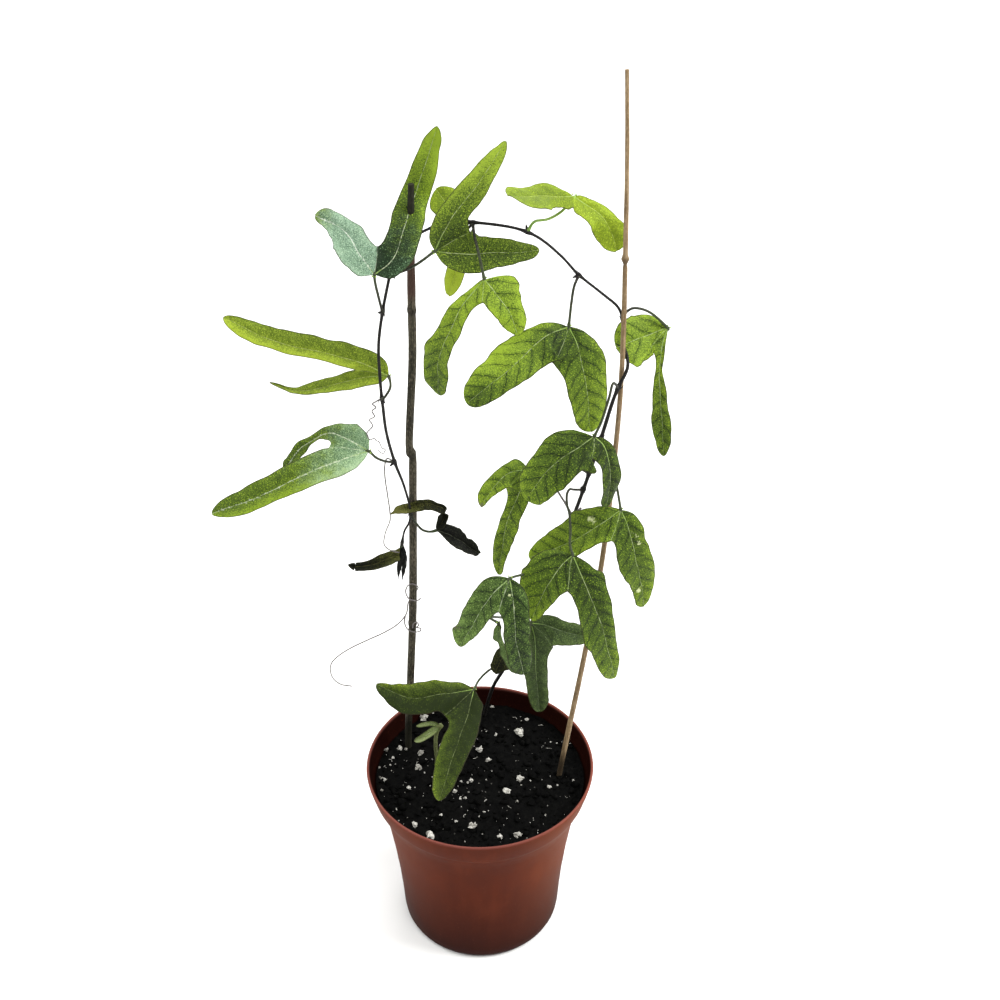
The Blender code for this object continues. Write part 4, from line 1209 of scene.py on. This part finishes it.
stem = {
    "line": """
        1 46 88, 2.5 46 101, 7 43 122, 14 37 143, 22 30 173, 31 23 205, 39 16 235, 46 10.5 261,
        52 6.5 287, 56.5 3.5 308, 60.5 1.6 327.5, 63 1.8 336, 65.6 2.9 341.5, 67 5 345,
        66.6 8 348.6, 65 9.3 353, 64.7 9.4 359, 64 9.1 366, 61.4 7.6 373, 54.5 5 380.5,
        44 4 390, 37 4 398, 29 5 405, 22 6.5 408.5, 13 9 410, -2 14 409.5, -14 19 407,
        -20 25 401.5, -26 30 396, -32 28.5 391.5, -36 22.5 387.5, -37 17.3 384, -41 16 366,
        -43.5 15.5 349, -43.5 15 330, -43 15.5 318, -42 16 303, -39 17.5 286, -35.5 19.5 272,
        -33 20.5 258, -33.4 20.5 249.6, -36 19.5 244.3, -37 17.9 240, -37.3 17.2 237.5""",
    # share of the length and radius there
    "radii": [(0.0, 1.05), (0.4, 0.95), (0.55, 0.58), (0.66, 0.66), (0.9, 0.78), (1.0, 0.5)],
    "swell": 0.45,           # mm more at a leaf joint
    "noBud": ("young_shoot", "leaf_stem_tip"),
}


def makeStem():
    line = measured(rows(stem["line"]))
    length = line[1][-1]
    count = round(length)
    joints = [shape["stalk"][0] for shape in leaves.values()]
    points, radii = [], []
    for i in range(count + 1):
        s = length * i / count
        spot = placeAt(line, s)
        near = min((spot - joint).length for joint in joints)
        radius = between(stem["radii"], i / count) + stem["swell"] * hill(near, 1.7)
        radii.append(radius * (1 + 0.06 * noise.noise(Vector((s / 4, 1, 1)))))
        points.append(spot)
    parts = [addTube(points, radii, 2)]
    paint(parts[0], "leafMap", (0.3, 0, 0))      # the buds keep the darker start of the skin
    # a bud and a pair of dry scales in each leaf joint
    for name, shape in leaves.items():
        if name in stem["noBud"]:
            continue
        joint = shape["stalk"][0]
        out = (shape["stalk"][1] - joint).normalized()
        nearest = min(range(count + 1), key=lambda i: (points[i] - joint).length)
        way = wayAt(line, length * nearest / count, 2.0)
        lean = (out + way * 0.8).normalized()
        start = joint + lean * 0.8
        bud = [start, start + lean * 0.9, start + lean * 1.9, start + lean * 2.6]
        parts.append(addTube(bud, [0.45, 0.62, 0.4, 0.1]))
        for turn in (-1, 1):
            side = out.cross(way).normalized() * turn
            scale = [joint + side * 0.9, joint + side * 1.6 + way * 0.8,
                     joint + side * 1.9 + way * 2.2]
            parts.append(addTube(scale, [0.3, 0.22, 0.06], 0))
    finishPiece(joinPieces("vineStem", parts, stemSkin), "stem", "vine_stem")


makeStem()
print("stem made")

# radii at the root and at the tip, then the places of each branch
tendrils = {
    "tendril_top": ((0.36, 0.22), ["""
        -43.3 15.1 322.3, -45.9 14.5 321, -47.5 13.5 320.3, -46.1 14.5 317.8, -47.8 12.5 317.2,
        -46.9 14 313.3, -49.1 12 312.7, -47.9 13 308.8, -50.6 11.8 305.7, -49.4 11 302.6,
        -47.3 12 302.9, -46.6 11 302.2, -45.3 12 300.7, -44.1 12 297.4, -42.7 13 295.9,
        -43.8 12 294.3, -45.9 11 296.7"""]),
    "tendril_side": ((0.36, 0.3), ["""
        -39 17.5 286, -43 20 286, -44 18 279, -43 16 268, -42.4 17 258, -42.7 18 251.4,
        -44.8 17 246.1, -45.9 16 241.4, -45.7 15 239.1, -44 14.5 237.1, -41.2 14.5 235.5,
        -38.8 15.5 234.2"""]),
    "tendril_hook": ((0.6, 0.5), ["""
        49 8.3 266, 45.1 5 264.5, 43 4 268.1, 40.8 3.5 272.8, 38.6 3 277.1, 36.6 2.5 281.4"""]),
    # wound round the cane, its end free, and away from it in a long arc; then its side
    # shoot, which ends in a curl
    "tendril_cane": ((0.36, 0.3), ["""
        -29.4 18 203.4, -30.5 19.5 201.2, -31.9 21 199.6, -34.4 21.2 200, -36.3 24 199.5,
        -37.3 26 201.5, -36.2 24 206.4, -34.1 21.2 210.1, -32.1 21.4 209.5, -30.8 24.5 205.3,
        -33.2 27.6 198.6, -35.9 27.2 194.4, -36.5 24 193.7, -36.7 22.3 191.8, -37.8 21 189.6,
        -40.3 19 187.3, -43.8 16 186.1, -50.3 13 184, -55.3 11 182.8, -65.5 9 178.2,
        -72.5 6.5 174.2, -75.5 5 170, -75 4 163.5, -71 3 159.5, -65 3 158""", """
        -37.7 21.2 189.4, -38.2 21.5 185.9, -37.8 21.2 182.8, -36.3 20.8 180.5, -34 20.6 179.4,
        -31.7 20.5 179.5, -30.1 20.3 180.4, -30.2 20.2 182.2, -32.1 20.2 182.6,
        -30.9 20.2 184.3, -32 20.2 186.1, -33.7 20.2 185.1, -34 20 182.5"""]),
}


def makeTendril(name, thin, branches):
    rods = []
    for branch in branches:
        route = smoothRoute(rows(branch), 0.6)
        count = len(route) - 1
        rods.append(addTube(route, [thin[0] + (thin[1] - thin[0]) * i / count
                                    for i in range(count + 1)]))
        paint(rods[-1], "leafMap", (0.4, 0, 0))
    finishPiece(joinPieces(pieceName(name, "Wire"), rods, tendrilSkin), "tendril", name)


for name, (thin, branches) in tendrils.items():
    makeTendril(name, thin, branches)
print("tendrils made")

stage = {
    "floorSize": 14.0, "floorTones": ("f1f1ef", "f4f4f2"),
    "sky": 0.38,
    # place, energy, size and whether it is aimed; the last, for the floor far behind, is not
    "lights": [((1.3, -0.1, 1.3), 36.0, 1.0, True), ((-1.3, 0.0, 1.1), 16.0, 1.2, True),
               ((0.2, -0.8, 1.9), 21.0, 1.2, True), ((0.4, 1.2, 1.3), 10.0, 1.2, True),
               ((0.0, 2.1, 1.4), 26.0, 2.5, False)],
    "aim": (0.0, 0.0, 0.22),
    "camera": (0.0106, -0.5714, 0.676), "cameraTilt": 0.6103, "lens": 54, "nearest": 0.01,
}
bpy.ops.mesh.primitive_plane_add(size=stage["floorSize"], location=(0, 0, 0))
floor = bpy.context.object
floor.name = "paleFloor"
floorPaint, shader, add, place = newMaterial("matte_floor", Roughness=0.9,
                                             Specular_IOR_Level=0.1)
low, high = stage["floorTones"]
tone = add("ValToRGB", add("TexNoise", Vector=place, Scale=3.0), stops=[(0.3, low), (0.7, high)])
coat(floor, finishMaterial(floorPaint, shader, tone))

world = bpy.data.worlds.new("softSky")
bpy.context.scene.world = world
world.use_nodes = True
world.node_tree.nodes["Background"].inputs[0].default_value = (1, 1, 1, 1)
world.node_tree.nodes["Background"].inputs[1].default_value = stage["sky"]
for place, energy, size, aimed in stage["lights"]:
    ahead = Vector(stage["aim"]) - Vector(place)
    turn = ahead.to_track_quat("-Z", "Y").to_euler() if aimed else (0, 0, 0)
    bpy.ops.object.light_add(type="AREA", location=place, rotation=turn)
    bpy.context.object.data.energy = energy
    bpy.context.object.data.size = size
bpy.context.scene.view_settings.view_transform = "Standard"

bpy.ops.object.camera_add(location=stage["camera"],
                          rotation=(math.pi / 2 - stage["cameraTilt"], 0, 0))
camera = bpy.context.object
camera.data.lens = stage["lens"]
camera.data.clip_start = stage["nearest"]
bpy.context.scene.camera = camera
print("stage set")
